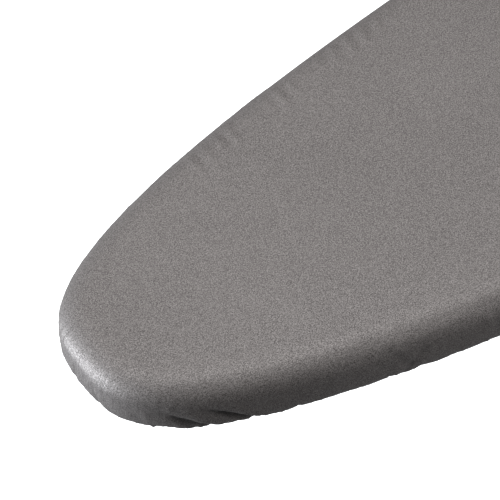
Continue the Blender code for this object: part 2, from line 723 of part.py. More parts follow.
def make_carriage(pivot):
    """A folded shell, open at the bottom, that rides on the lock rod and the slide bar."""
    low = Vector((CARRIAGE_NOSE, -CARRIAGE_HALF, CARRIAGE_BOTTOM))
    high = Vector((CARRIAGE_TAIL, CARRIAGE_HALF, CARRIAGE_TOP))
    wall = Vector((CARRIAGE_WALL, CARRIAGE_WALL, CARRIAGE_WALL))
    housing = add_box("carriage_housing", low, high, "zinc_steel", pivot)
    bevel = housing.modifiers.new("Folds", "BEVEL")
    bevel.width = 0.0015
    bevel.segments = 2
    inside_low = low + wall - Vector((0, 0, CARRIAGE_WALL + EXTRA_CUT))
    inside = add_box("carriage_inside", inside_low, high - wall, parent=pivot)
    past = EXTRA_CUT
    rod_start = (CARRIAGE_NOSE - past, 0, ROD_Z - PIVOT_Z)
    rod_end = (CARRIAGE_TAIL + past, 0, ROD_Z - PIVOT_Z)
    rod_hole = add_cylinder("carriage_rod_hole", ROD_HOLE_RADIUS, rod_start, rod_end, parent=pivot)
    side_reach = CARRIAGE_HALF + past
    bar_hole = add_cylinder(
        "carriage_bar_hole", SLIDE_BAR_RADIUS + GAP, (0, -side_reach, 0), (0, side_reach, 0), parent=pivot
    )
    pin_hole = add_cylinder(
        "carriage_pin_hole", LEVER_HOLE_RADIUS, (LEVER_X, -side_reach, LEVER_Z), (LEVER_X, side_reach, LEVER_Z),
        parent=pivot, sides=SMALL_SIDES,
    )
    slot_half_length = PLATE_THICKNESS / 2 + 0.0006
    slot_half_width = PLATE_TAB_HALF + 0.0005
    tab_slot = add_box(
        "carriage_tab_slot",
        (PLATE_X - slot_half_length, -slot_half_width, CARRIAGE_TOP - CARRIAGE_WALL - past),
        (PLATE_X + slot_half_length, slot_half_width, CARRIAGE_TOP + past),
        parent=pivot,
    )
    lever_slot = add_box(
        "carriage_lever_slot",
        (CARRIAGE_TAIL - CARRIAGE_WALL - past, -LEVER_HALF - 0.003, CARRIAGE_BOTTOM - past),
        (CARRIAGE_TAIL + past, LEVER_HALF + 0.003, LEVER_Z + 0.012),
        parent=pivot,
    )
    cut(housing, inside, rod_hole, bar_hole, pin_hole, tab_slot, lever_slot)


def make_lock_plate(carriage_pivot):
    """A plate with a tab in the housing's top slot; its tilted hole bites the rod."""
    pivot = add_pivot("lock_plate_pivot", (PLATE_X, 0, PLATE_FULCRUM), carriage_pivot, -PLATE_TILT)
    half = PLATE_THICKNESS / 2
    low = (-half, -PLATE_HALF, PLATE_BOTTOM - PLATE_FULCRUM)
    high = (half, PLATE_HALF, PLATE_SHOULDER - PLATE_FULCRUM)
    plate = add_box("lock_plate", low, high, "zinc_steel", pivot)
    tab_low = (-half, -PLATE_TAB_HALF, PLATE_SHOULDER - PLATE_FULCRUM - 0.002)
    tab_high = (half, PLATE_TAB_HALF, PLATE_TAB_TOP - PLATE_FULCRUM)
    tab = add_box("lock_plate_tab", tab_low, tab_high, parent=pivot)
    join(plate, tab)
    bite_gap = 0.00025
    hole_radius = (ROD_RADIUS + half * math.sin(PLATE_TILT) + bite_gap) / math.cos(PLATE_TILT)
    drop = (ROD_Z - PIVOT_Z - PLATE_FULCRUM) / math.cos(PLATE_TILT)
    hole = add_cylinder(
        "lock_plate_hole", hole_radius, (-half - EXTRA_CUT, 0, drop), (half + EXTRA_CUT, 0, drop), parent=pivot
    )
    cut(plate, hole)


def make_lock_spring(pivot):
    """A coil round the rod, from the housing's nose end to the plate."""
    steps = 12
    curve = bpy.data.curves.new("lock_spring", "CURVE")
    curve.dimensions = "3D"
    spline = curve.splines.new("POLY")
    count = SPRING_TURNS * steps + 1
    spline.points.add(count - 1)
    for i, point in enumerate(spline.points):
        angle = 2 * math.pi * i / steps
        x = SPRING_NOSE + (SPRING_TAIL - SPRING_NOSE) * i / (count - 1)
        z = ROD_Z - PIVOT_Z + SPRING_RADIUS * math.cos(angle)
        point.co = (x, SPRING_RADIUS * math.sin(angle), z, 1)
    curve.bevel_depth = SPRING_WIRE_RADIUS
    curve.bevel_resolution = 1
    curve.use_fill_caps = True
    add_object("lock_spring", curve, "zinc_steel", pivot)


def lever_outline():
    """Finger, hub and drooping arm of the release lever, seen from the side, round its pin."""
    finger_x, finger_top, finger_radius = -0.0035, 0.0095, 0.0016
    hub = arc((0, 0), LEVER_HUB_RADIUS, 140, 300, 8)
    finger = arc((finger_x, finger_top), finger_radius, 0, 180, 5)
    bend = Vector((LEVER_BEND_X, LEVER_BEND_Z))
    along = Vector((math.cos(LEVER_DROOP), -math.sin(LEVER_DROOP)))
    half_sheet = Vector((math.sin(LEVER_DROOP), math.cos(LEVER_DROOP))) * LEVER_THICKNESS / 2
    tip = bend + along * LEVER_ARM_LENGTH
    arm = [tuple(point) for point in (bend - half_sheet, tip - half_sheet, tip + half_sheet, bend + half_sheet)]
    return arm + [(0.0045, 0.0015)] + finger + hub


def make_lever(carriage_pivot):
    pivot = add_pivot("release_lever_pivot", (LEVER_X, 0, LEVER_Z), carriage_pivot)
    lever = add_side_profile("release_lever", lever_outline(), LEVER_HALF, "zinc_steel", pivot)
    hole_reach = LEVER_HALF + EXTRA_CUT
    hole = add_cylinder(
        "release_lever_hole", LEVER_HOLE_RADIUS, (0, -hole_reach, 0), (0, hole_reach, 0),
        parent=pivot, sides=SMALL_SIDES,
    )
    cut(lever, hole)
    hand = add_pivot("lever_hand", (LEVER_BEND_X, 0, LEVER_BEND_Z), pivot, LEVER_DROOP)
    grip_end = LEVER_ARM_LENGTH + 0.008
    grip_start = grip_end - GRIP_LENGTH
    low = (grip_start, -GRIP_HALF_WIDTH, -GRIP_HALF_HEIGHT)
    high = (grip_end, GRIP_HALF_WIDTH, GRIP_HALF_HEIGHT)
    grip = add_box("lever_grip", low, high, "black_plastic", hand)
    bevel = grip.modifiers.new("Round", "BEVEL")
    bevel.width = 0.005
    bevel.segments = 3
    socket_half = LEVER_THICKNESS / 2 + GAP
    socket = add_box(
        "lever_grip_socket",
        (grip_start - EXTRA_CUT, -LEVER_HALF - GAP, -socket_half),
        (LEVER_ARM_LENGTH + GAP, LEVER_HALF + GAP, socket_half),
        parent=hand,
    )
    cut(grip, socket)


def make_lever_pin(carriage_pivot):
    half = CARRIAGE_HALF + GAP
    head_radius, head_height = 0.004, 0.0015
    profile = [(0, half + head_height), (head_radius, half + head_height), (head_radius, half)]
    profile += [(LEVER_PIN_RADIUS, half), (LEVER_PIN_RADIUS, -half), (head_radius, -half)]
    profile += [(head_radius, -half - head_height), (0, -half - head_height)]
    add_turned("lever_pin", profile, (LEVER_X, 0, LEVER_Z), "zinc_steel", carriage_pivot, SMALL_SIDES)


def make_lock():
    pivot = add_pivot("carriage_pivot", (SLIDE_X, 0, PIVOT_Z))
    make_carriage(pivot)
    make_lock_spring(pivot)
    make_lever_pin(pivot)
    make_lock_plate(pivot)
    make_lever(pivot)


make_board()
make_outer_leg()
make_inner_leg()
make_lock()
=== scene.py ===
"""Looks of the ironing board: a silver cover gathered round a padded board, on a painted folding stand.

Metres, +Z up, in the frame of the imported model: X along the board with the nose at -X.
"""

import math

import bmesh
import bpy
import numpy as np
from mathutils import Matrix, Vector, noise


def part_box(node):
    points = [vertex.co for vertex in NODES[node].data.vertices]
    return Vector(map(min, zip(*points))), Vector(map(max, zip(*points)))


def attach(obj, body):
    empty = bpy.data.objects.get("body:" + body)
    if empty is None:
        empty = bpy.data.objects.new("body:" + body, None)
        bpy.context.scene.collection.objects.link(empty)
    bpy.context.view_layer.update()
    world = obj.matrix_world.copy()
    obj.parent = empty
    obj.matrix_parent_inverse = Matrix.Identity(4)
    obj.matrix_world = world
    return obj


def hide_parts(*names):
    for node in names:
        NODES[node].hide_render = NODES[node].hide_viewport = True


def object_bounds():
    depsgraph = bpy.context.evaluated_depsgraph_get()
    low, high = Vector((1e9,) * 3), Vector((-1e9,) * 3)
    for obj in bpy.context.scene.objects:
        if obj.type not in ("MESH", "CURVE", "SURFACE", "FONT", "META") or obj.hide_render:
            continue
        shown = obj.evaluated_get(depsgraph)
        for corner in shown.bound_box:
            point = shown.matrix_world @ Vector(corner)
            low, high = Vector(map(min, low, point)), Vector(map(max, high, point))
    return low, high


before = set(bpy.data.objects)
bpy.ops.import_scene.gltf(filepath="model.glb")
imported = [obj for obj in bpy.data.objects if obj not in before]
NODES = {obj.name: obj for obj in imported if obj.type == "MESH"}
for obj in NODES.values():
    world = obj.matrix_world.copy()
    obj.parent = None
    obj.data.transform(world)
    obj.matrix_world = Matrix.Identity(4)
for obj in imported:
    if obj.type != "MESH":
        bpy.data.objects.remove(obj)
CAD_LOW, CAD_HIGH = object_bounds()

COVER_LOW, COVER_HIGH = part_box("cover")
BOARD_LENGTH = COVER_HIGH.x - COVER_LOW.x
BOARD_WIDTH = COVER_HIGH.y - COVER_LOW.y
NOSE_X = COVER_LOW.x
SURFACE_Z = COVER_HIGH.z
HEM_Z = COVER_LOW.z

# The outline's shape, as in the CAD model
TAPER_LENGTH = 1.100
TAPER_POWER = 1.37
NOSE_BLUNTNESS = 2.8
TAIL_RADIUS = 0.055

# The padded edge rounds over this far down and this far in
EDGE_DROP = 0.015
EDGE_RUN = 0.018
HEM_INSET = 0.034
MILLIMETRE = 0.001


# Helpers: objects and meshes


def add_piece(name, data, material, body, replaced=(), smooth_angle=35):
    """A finished piece: linked, shaded, riding on its body and standing for its CAD nodes."""
    piece = bpy.data.objects.new(name, data)
    bpy.context.scene.collection.objects.link(piece)
    data.materials.append(material)
    if smooth_angle and isinstance(data, bpy.types.Mesh):
        data.shade_smooth()
        data.set_sharp_from_angle(angle=math.radians(smooth_angle))
    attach(piece, body)
    if replaced:
        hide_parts(*replaced)
    return piece


def mesh_of(name, vertices, faces):
    mesh = bpy.data.meshes.new(name)
    mesh.from_pydata([tuple(v) for v in vertices], [], faces)
    mesh.validate()
    return mesh


def outward(mesh):
    """The same mesh with its faces turned to point out."""
    shape = bmesh.new()
    shape.from_mesh(mesh)
    bmesh.ops.recalc_face_normals(shape, faces=shape.faces)
    shape.to_mesh(mesh)
    shape.free()
    return mesh


# Board outline


def half_width(s):
    """Half the board's width at distances s from the nose."""
    taper = 1 - np.minimum(s / TAPER_LENGTH, 1)
    width = BOARD_WIDTH / 2 * (1 - taper**TAPER_POWER) ** (1 / NOSE_BLUNTNESS)
    into_corner = np.maximum(s - (BOARD_LENGTH - TAIL_RADIUS), 0)
    return width - TAIL_RADIUS + np.sqrt(np.maximum(TAIL_RADIUS**2 - into_corner**2, 0))


# The length at the nose whose points are closer together
NOSE_PART = 0.2


def dense_outline():
    """Many points round the board, anticlockwise from the nose, ready to be resampled."""
    nose = NOSE_PART * np.linspace(0, 1, 900) ** NOSE_BLUNTNESS
    side = np.linspace(NOSE_PART, BOARD_LENGTH - TAIL_RADIUS, 1500)[1:]
    corner = BOARD_LENGTH - TAIL_RADIUS + TAIL_RADIUS * np.sin(np.linspace(0, math.pi / 2, 300))[1:]
    s = np.concatenate([nose, side, corner])
    right = np.column_stack([NOSE_X + s, -half_width(s)])
    tail = np.column_stack([np.full(200, right[-1, 0]), np.linspace(right[-1, 1], -right[-1, 1], 202)[1:-1]])
    left = right[::-1] * [1, -1]
    return np.concatenate([right, tail, left[:-1]])


# Points on each side of one that its curvature is averaged over
SMOOTHING = 4


class Outline:
    """Evenly spaced points round the board, with inward normals and smoothed curvature.

    s is the distance round from the nose, and from_nose the same, negative along the far side.
    """

    def __init__(self, count):
        dense = dense_outline()
        closed = np.concatenate([dense, dense[:1]])
        steps = np.hypot(*np.diff(closed, axis=0).T)
        along = np.concatenate([[0], np.cumsum(steps)])
        self.length = along[-1]
        self.count = count
        self.s = np.arange(count) * self.length / count
        self.from_nose = (self.s + self.length / 2) % self.length - self.length / 2
        self.points = np.column_stack([np.interp(self.s, along, closed[:, i]) for i in (0, 1)])
        ahead, behind = np.roll(self.points, -1, axis=0), np.roll(self.points, 1, axis=0)
        tangent = ahead - behind
        tangent /= np.hypot(*tangent.T)[:, None]
        self.inward = np.column_stack([-tangent[:, 1], tangent[:, 0]])
        turn = np.roll(tangent, -1, axis=0) - np.roll(tangent, 1, axis=0)
        bend = np.sum(turn * self.inward, axis=1) * count / (2 * self.length)
        bend = np.concatenate([bend[-SMOOTHING:], bend, bend[:SMOOTHING]])
        spread = np.ones(2 * SMOOTHING + 1) / (2 * SMOOTHING + 1)
        self.curvature = np.convolve(bend, spread, "valid")

    def inset(self, distance):
        return self.points + self.inward * distance


def ring_mesh(name, rings, close_first=False, close_last=False):
    """Quads between closed rings of equal size, with optional caps."""
    count = len(rings[0])
    vertices = np.concatenate(rings)
    faces = []
    for row in range(len(rings) - 1):
        for i in range(count):
            j = (i + 1) % count
            a, b = row * count, (row + 1) * count
            faces.append((a + i, a + j, b + j, b + i))
    if close_first:
        faces.append(tuple(range(count)))
    if close_last:
        faces.append(tuple(range((len(rings) - 1) * count, len(rings) * count)))
    return mesh_of(name, vertices, faces)


def grid_mesh(name, grid):
    """Quads over an open grid of points, rows by columns."""
    rows, columns = grid.shape[:2]
    faces = []
    for row in range(rows - 1):
        for i in range(columns - 1):
            a = row * columns + i
            faces.append((a, a + 1, a + columns + 1, a + columns))
    return mesh_of(name, grid.reshape(-1, 3), faces)


def profile_normals(profile):
    """Unit normals of an (inset, z) profile, as (outwards, up)."""
    along = np.gradient(profile, axis=0)
    along /= np.hypot(*along.T)[:, None]
    return np.column_stack([-along[:, 1], -along[:, 0]])


def rings_round(outline, profile):
    return [np.column_stack([outline.inset(inset), np.full(outline.count, z)]) for inset, z in profile]


def loop_mesh(name, rows):
    """Quads over rows of points that close round both ways, such as a tube bent into a loop."""
    rows = np.array(rows)
    count, sides = rows.shape[:2]
    faces = []
    for i in range(count):
        for k in range(sides):
            j, m = (i + 1) % count, (k + 1) % sides
            faces.append((i * sides + k, j * sides + k, j * sides + m, i * sides + m))
    return outward(mesh_of(name, rows.reshape(-1, 3), faces))


def circle(radius, sides):
    turn = np.linspace(0, 2 * math.pi, sides, endpoint=False)
    return radius * np.column_stack([np.cos(turn), np.sin(turn)])


def lofted(name, sections):
    """A closed solid through rings of points of equal size, capped at both ends."""
    return outward(ring_mesh(name, [np.array(section) for section in sections], True, True))


LEAST_RADIUS = 0.00005


def turned(name, profile, start, axis, sides=48):
    """A turned solid: (distance along, radius) steps from start along axis."""
    axis = Vector(axis).normalized()
    across = axis.orthogonal().normalized()
    up = axis.cross(across)
    ring = circle(1.0, sides)
    sections = []
    for along, radius in profile:
        centre = np.array(Vector(start) + axis * along)
        spread = ring[:, :1] * np.array(across) + ring[:, 1:] * np.array(up)
        sections.append(centre + spread * max(radius, LEAST_RADIUS))
    return lofted(name, sections)


def swept(name, path, radius, sides=12, closed=False):
    """A round bar along a path; radius is one number or one for each point."""
    path = np.array(path, float)
    radii = np.broadcast_to(radius, len(path))
    if closed:
        tangents = np.roll(path, -1, axis=0) - np.roll(path, 1, axis=0)
    else:
        tangents = np.gradient(path, axis=0)
    across = Vector(tangents[0]).orthogonal().normalized()
    rings = []
    for point, tangent, reach in zip(path, tangents, radii):
        tangent = Vector(tangent).normalized()
        across = (across - tangent * across.dot(tangent)).normalized()
        up = tangent.cross(across)
        ring = circle(reach, sides)
        rings.append(point + ring[:, :1] * np.array(across) + ring[:, 1:] * np.array(up))
    if closed:
        return loop_mesh(name, rings)
    return lofted(name, rings)


def joined(name, meshes):
    """One mesh of several."""
    shape = bmesh.new()
    for mesh in meshes:
        shape.from_mesh(mesh)
        bpy.data.meshes.remove(mesh)
    whole = bpy.data.meshes.new(name)
    shape.to_mesh(whole)
    shape.free()
    return whole


def middle_of(node):
    low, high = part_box(node)
    return (low + high) / 2


def resampled(profile, spacing):
    """The (inset, z) profile with points at an even spacing."""
    profile = np.array(profile, float)
    steps = np.hypot(*np.diff(profile, axis=0).T)
    along = np.concatenate([[0], np.cumsum(steps)])
    at = np.linspace(0, along[-1], max(2, round(along[-1] / spacing) + 1))
    return np.column_stack([np.interp(at, along, profile[:, i]) for i in (0, 1)])


def edge_round(inset, top_z, gap, steps=10):
    """The soft rounding of the padded edge, drawn a gap inside the cover's own."""
    angles = np.linspace(0, math.pi / 2, steps)
    run, drop = EDGE_RUN - gap, EDGE_DROP - gap
    return [(inset + run * (1 - math.sin(a)), top_z - drop * (1 - math.cos(a))) for a in angles]


# Cover: the band over the padded edge, simulated as cloth at the nose and at the tail


RIM_LOW, RIM_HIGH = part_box("rim")
RIM_Z = (RIM_LOW.z + RIM_HIGH.z) / 2
RIM_INSET = 0.0145
CLOTH_GAP = 0.0008
BAND_TOP_INSET = 0.030
CLOTH_THICKNESS = 0.0006

# The outline's rounded length and the columns' spacing give the number of columns in the band
OUTLINE_LENGTH = 3.12
COLUMN_SPACING = 0.0020
ROW_SPACING = 0.0028
GATHER_SPACING = 0.026
GATHER_DEPTH_LIMIT = 0.0022
GATHER_START = 0.42
GATHER_RUN = 0.32
END_REACH = 0.27
PINNED_COLUMNS = 3
HOLD_START = 0.012
HOLD_RUN = 0.018
SIM_FRAMES = 22

# Ease: (metres down the band's profile, millimetres further out that the cloth was cut than it ends up)
EASE_POINTS = ((0.0, 0.0), (0.020, 0.0), (0.037, 1.4), (0.052, 5.0), (0.072, 15.0), (0.1, 15.0))
PROFILE_STRETCH = 0.985


def band_profile():
    """Where the band lies: over the rounded edge, down, round the rim tube and in to the hem."""
    tuck = np.radians(np.linspace(0, 100, 9))
    profile = [(BAND_TOP_INSET, SURFACE_Z)] + edge_round(0.0, SURFACE_Z, 0.0)
    profile += [(RIM_INSET * (1 - math.cos(a)), RIM_Z - RIM_INSET * math.sin(a)) for a in tuck]
    profile.append((HEM_INSET, HEM_Z))
    return resampled(profile, ROW_SPACING)


def distance_along(profile):
    return np.concatenate([[0], np.cumsum(np.hypot(*np.diff(profile, axis=0).T))])


def ease_of(profile):
    at, ease = zip(*EASE_POINTS)
    return np.interp(distance_along(profile), at, ease) * MILLIMETRE


def cut_profile(profile):
    """The band before gathering: cut wider round the board, and a little short down the profile."""
    insets = profile[:, 0] - ease_of(profile)
    spacing = np.hypot(*np.diff(profile, axis=0).T) * PROFILE_STRETCH
    drop = np.sqrt(np.maximum(spacing**2 - np.diff(insets) ** 2, 0))
    return np.column_stack([insets, SURFACE_Z - np.concatenate([[0], np.cumsum(drop)])])


def gathers(outline, rows):
    """How far each point starts off the profile: waves that use up the ease, deeper to the hem."""
    ease = ease_of(band_profile())
    excess = np.clip(outline.curvature, 1.0, None)[None, :] * ease[:, None]
    amplitude = np.minimum(GATHER_SPACING / math.pi * np.sqrt(excess), GATHER_DEPTH_LIMIT)
    drift = np.array([noise.noise(Vector((s * 14, 3.1, 0.7))) for s in outline.s])
    depth = np.array([0.6 + 0.8 * noise.noise(Vector((s * 23, 8.3, 1.9))) for s in outline.s])
    lean = np.array([noise.noise(Vector((s * 9, 1.7, 5.2))) for s in outline.s])
    share = np.linspace(0, 1, rows)[:, None]
    wave = np.sin(outline.s * 2 * math.pi / GATHER_SPACING + drift * 7 + 9 * lean * share)
    fade = np.clip((share - GATHER_START) / GATHER_RUN, 0, 1) ** 1.3
    return amplitude * wave * np.clip(depth, 0.15, 1.3) * fade


# Sharp tucks at the nose: where each meets the hem (metres round from the nose, near side positive),
# how far it leans back towards the nose for each metre up, its height and its depth
TUCKS = (
    (0.147, 1.8, 0.026, 0.0017),
    (0.139, 1.5, 0.023, 0.0014),
    (0.131, 1.1, 0.018, 0.0010),
    (0.116, 1.7, 0.024, 0.0017),
    (0.107, 1.3, 0.020, 0.0013),
    (0.092, 0.9, 0.018, 0.0010),
    (0.074, 1.1, 0.018, 0.0009),
    (0.058, 0.6, 0.016, 0.0008),
    (0.024, 0.4, 0.022, 0.0010),
    (-0.012, -0.2, 0.024, 0.0008),
    (-0.047, -0.5, 0.026, 0.0008),
    (0.150, 0.6, 0.018, 0.0008),
    (0.194, -0.7, 0.034, 0.0007),
    (0.205, 0.4, 0.016, 0.0007),
    (0.232, 0.8, 0.034, 0.0006),
    (0.290, -0.4, 0.020, 0.0006),
)
TUCK_WIDTH = 0.0019
TUCK_END = 0.074


def tucks_in(outline, along):
    """Depth of the tucks at each point of the band: a groove with a ridge beside it."""
    depth = np.zeros((len(along), outline.count))
    for hem_at, lean, height, deep in TUCKS:
        up = np.maximum(TUCK_END - along, 0)[:, None]
        aside = (outline.from_nose[None, :] - hem_at + lean * up) / (TUCK_WIDTH * math.hypot(1, lean))
        fade = np.clip((height + 0.012 - up) / 0.010, 0, 1)
        depth += fade * deep * (0.3 * np.exp(-(((aside - 2.2) / 1.5) ** 2)) - np.exp(-(aside**2)))
    return depth


# Short ripples across the top's edge: where on the outline they lie and how far they spread
RIPPLES = ((-0.335, 0.026), (-0.262, 0.011), (-0.212, 0.012), (-0.186, 0.008))
RIPPLE_SPACING = 0.0125
RIPPLE_HEIGHT = 0.00060
RIPPLE_FLOOR = 0.06


def edge_ripples(outline, along):
    """Short ripples across the top's edge, along the far side near the nose."""
    drift = np.array([noise.noise(Vector((s * 11, 5.5, 2.2))) for s in outline.s])
    places = [np.exp(-(((outline.from_nose - at) / spread) ** 2)) for at, spread in RIPPLES]
    strength = RIPPLE_FLOOR + sum(places)
    window = np.exp(-(((along - 0.012) / 0.009) ** 2)) * np.clip(along / 0.006, 0, 1)
    leaning = outline.from_nose[None, :] + 0.5 * along[:, None]
    wave = np.sin(leaning * 2 * math.pi / RIPPLE_SPACING + 4 * drift[None, :])
    return RIPPLE_HEIGHT * window[:, None] * strength[None, :] * wave


def solid_profile():
    """The padded edge inside the cover, as one closed section."""
    gap = 2 * CLOTH_GAP
    under = np.linspace(0, math.pi, 12)
    radius = RIM_INSET - gap
    profile = edge_round(gap, SURFACE_Z - gap, gap)
    profile += [(RIM_INSET - radius * math.cos(a), RIM_Z - radius * math.sin(a)) for a in under]
    return resampled(profile, 0.004)


def linked(name, mesh):
    obj = bpy.data.objects.new(name, mesh)
    bpy.context.scene.collection.objects.link(obj)
    return obj


def evaluated_points(obj):
    evaluated = obj.evaluated_get(bpy.context.evaluated_depsgraph_get())
    mesh = evaluated.to_mesh()
    points = np.empty(len(mesh.vertices) * 3, np.float32)
    mesh.vertices.foreach_get("co", points)
    evaluated.to_mesh_clear()
    return points.reshape(-1, 3).astype(float)


def settle(start, cut, pinned):
    """Cloth simulation of one end of the band, over the padded edge; returns where it comes to rest."""
    rows, columns = start.shape[:2]
    cloth_piece = linked("band", grid_mesh("band", start))
    cloth_piece.shape_key_add(name="start")
    cut_key = cloth_piece.shape_key_add(name="cut")
    cut_key.data.foreach_set("co", cut.astype(np.float32).ravel())
    group = cloth_piece.vertex_groups.new(name="pinned")
    group.add([int(i) for i in np.flatnonzero(pinned.ravel())], 1.0, "REPLACE")

    cloth = cloth_piece.modifiers.new("Cloth", "CLOTH")
    settings = cloth.settings
    settings.quality = 5
    settings.mass = 0.12
    settings.tension_stiffness = 40
    settings.compression_stiffness = 40
    settings.shear_stiffness = 8
    settings.bending_stiffness = 0.15
    settings.tension_damping = 8
    settings.compression_damping = 8
    settings.shear_damping = 4
    settings.bending_damping = 0.5
    settings.vertex_group_mass = "pinned"
    settings.rest_shape_key = cut_key
    settings.effector_weights.gravity = 0
    cloth.collision_settings.distance_min = CLOTH_GAP
    cloth.point_cache.frame_start = 1
    cloth.point_cache.frame_end = SIM_FRAMES
    for number in range(1, SIM_FRAMES + 1):
        bpy.context.scene.frame_set(number)
    settled = evaluated_points(cloth_piece).reshape(rows, columns, 3)
    bpy.context.scene.frame_set(1)
    bpy.data.objects.remove(cloth_piece, do_unlink=True)
    return settled


def settled_band(outline):
    """The whole band: gathered by simulation at the board's two ends, and in light waves between."""
    profile = band_profile()
    rows = len(profile)
    flat = np.array(rings_round(outline, profile))
    normals = profile_normals(profile)
    sideways = -outline.inward[None, :, :] * normals[:, None, :1]
    upwards = np.repeat(normals[:, None, 1:], outline.count, axis=1)
    outwards = np.concatenate([sideways, upwards], axis=2)
    start = flat + outwards * gathers(outline, rows)[:, :, None]
    along = distance_along(profile)
    creases = (tucks_in(outline, along) + edge_ripples(outline, along))[:, :, None] * outwards
    cut = np.array(rings_round(outline, cut_profile(profile)))

    body = ring_mesh("edge_solid", rings_round(Outline(500), solid_profile()), True, True)
    solid = linked("edge_solid", outward(body))
    solid.modifiers.new("Collision", "COLLISION")
    solid.collision.thickness_outer = CLOTH_GAP
    solid.collision.cloth_friction = 2
    band = start.copy()
    hold = np.clip((along - HOLD_START) / HOLD_RUN, 0, 1)
    reach = round(END_REACH / (outline.length / outline.count))
    for middle in (0, outline.count // 2):
        columns = np.arange(middle - reach, middle + reach + 1) % outline.count
        pinned = np.zeros((rows, len(columns)), bool)
        pinned[:2] = True
        pinned[-1] = True
        pinned[:, :PINNED_COLUMNS] = True
        pinned[:, -PINNED_COLUMNS:] = True
        settled = settle(start[:, columns], cut[:, columns], pinned)
        band[:, columns] += (settled - start[:, columns]) * hold[:, None, None]
    bpy.data.objects.remove(solid, do_unlink=True)
    return band + creases


TOP_RINGS = 20
TOP_SWELL = 0.0005

# The line that the top's rings shrink to starts and ends this far from the nose and the tail
LINE_FROM_NOSE = 0.10
LINE_FROM_TAIL = 0.16


def top_rings(first_ring):
    """Rings that shrink from the band's first ring towards the board's middle line and fill the top."""
    line_start, line_end = NOSE_X + LINE_FROM_NOSE, NOSE_X + BOARD_LENGTH - LINE_FROM_TAIL
    edge = first_ring[:, :2]
    middle = np.column_stack([np.clip(edge[:, 0], line_start, line_end), np.zeros(len(edge))])
    rings = []
    for share in np.linspace(0, 1, TOP_RINGS + 2)[1:-1]:
        flat = middle + (edge - middle) * (1 - share)
        swell = [noise.noise(Vector((x * 9, y * 14, 0.4))) for x, y in flat]
        height = SURFACE_Z + TOP_SWELL * np.array(swell) * min(share * 4, 1)
        rings.append(np.column_stack([flat, height]))
    return rings


# Fine puckers at the tip: the middle of them round the edge, their spread and how far down they start
PUCKER_AT = -0.030
PUCKER_SPREAD = 0.050
PUCKER_START = 0.024

# A tuck this deep gets the darkest painted shade in the cover's colour
PAINTED_SHADE_DEPTH = 0.0020


def mark_places(mesh, outline, along):
    """Store for the material where each point of the cover lies, how puckered it is, and how much painted
    shade darkens it in the tucks' grooves.
    """
    turn = outline.s * 2 * math.pi / outline.length
    reach = outline.length / (2 * math.pi)
    place = np.empty((len(along), outline.count, 3), np.float32)
    place[:, :, 0] = reach * np.cos(turn)
    place[:, :, 1] = reach * np.sin(turn)
    place[:, :, 2] = along[:, None]
    attribute = mesh.attributes.new("band_place", "FLOAT_VECTOR", "POINT")
    attribute.data.foreach_set("vector", place.ravel())
    tip = np.exp(-(((outline.from_nose - PUCKER_AT) / PUCKER_SPREAD) ** 2))
    side = np.clip((along - PUCKER_START) / 0.010, 0, 1)
    gathered = (side[:, None] * tip[None, :]).astype(np.float32)
    attribute = mesh.attributes.new("gathered", "FLOAT", "POINT")
    attribute.data.foreach_set("value", gathered.ravel())
    # Painted shade: how far the cover's colour is darkened in each tuck's groove, darker where the groove is
    # deeper
    grooves = np.clip(-tucks_in(outline, along) / PAINTED_SHADE_DEPTH, 0, 0.8)
    grooves = (grooves**1.4).astype(np.float32)
    attribute = mesh.attributes.new("painted_shade", "FLOAT", "POINT")
    attribute.data.foreach_set("value", grooves.ravel())


def polygon_area(points):
    x, y = points.T
    return abs(np.dot(x, np.roll(y, -1)) - np.dot(y, np.roll(x, -1))) / 2


def make_cover(fabric):
    outline = Outline(round(OUTLINE_LENGTH / COLUMN_SPACING))
    band = settled_band(outline)
    top = top_rings(band[0])[::-1]
    mesh = outward(ring_mesh("cover_cloth", top + list(band), close_first=True))
    along = distance_along(band_profile())
    before_band = np.linspace(-0.1, -0.005, len(top))
    mark_places(mesh, outline, np.concatenate([before_band, along]))
    cover = add_piece("cover_cloth", mesh, fabric, "board", ("cover",), 180)
    thickness = cover.modifiers.new("Thickness", "SOLIDIFY")
    thickness.thickness = CLOTH_THICKNESS
    thickness.offset = -1
    margin = along[-1] - BAND_TOP_INSET
    flat_size = (BOARD_WIDTH + 2 * margin, BOARD_LENGTH + 2 * margin)
    return cover, band, flat_size, polygon_area(outline.inset(-margin))


# Under the cover: hem binding, felt pad, rim tube and expanded metal deck


TAPE_HALF_WIDTH = 0.0042
TAPE_HALF_THICKNESS = 0.0011
TAPE_RIPPLE = 0.00025
TAPE_RIPPLE_SPACING = 0.0035


def make_hem(elastic, band):
    """The elastic binding that draws the hem in, as wavy as the hem itself."""
    outline = Outline(band.shape[1])
    ring = circle(1.0, 14)
    inward = np.column_stack([outline.inward, np.zeros(outline.count)])
    rows = []
    for i in range(outline.count):
        ripple = TAPE_RIPPLE * math.sin(outline.s[i] * 2 * math.pi / TAPE_RIPPLE_SPACING)
        centre = band[-1, i] + inward[i] * MILLIMETRE
        across = ring[:, :1] * inward[i] * TAPE_HALF_WIDTH
        upright = ring[:, 1:] * np.array([0, 0, TAPE_HALF_THICKNESS + ripple])
        rows.append(centre + across + upright)
    mesh = loop_mesh("hem_binding", rows)
    return add_piece("hem_binding", mesh, elastic, "board", ("hem_elastic",))


def make_pad(material):
    low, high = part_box("pad")
    outline = Outline(420)
    inset = (BOARD_WIDTH - (high.y - low.y)) / 2
    profile = [(x, z) for x, z in edge_round(inset, high.z, inset, 14) if z > low.z + 0.001]
    foot = profile[-1][0]
    profile += [(foot, low.z + 0.0005), (foot + 0.001, low.z)]
    mesh = outward(ring_mesh("felt_underlay", rings_round(outline, profile), True, True))
    pad = add_piece("felt_underlay", mesh, material, "board", ("pad",), 50)
    return pad


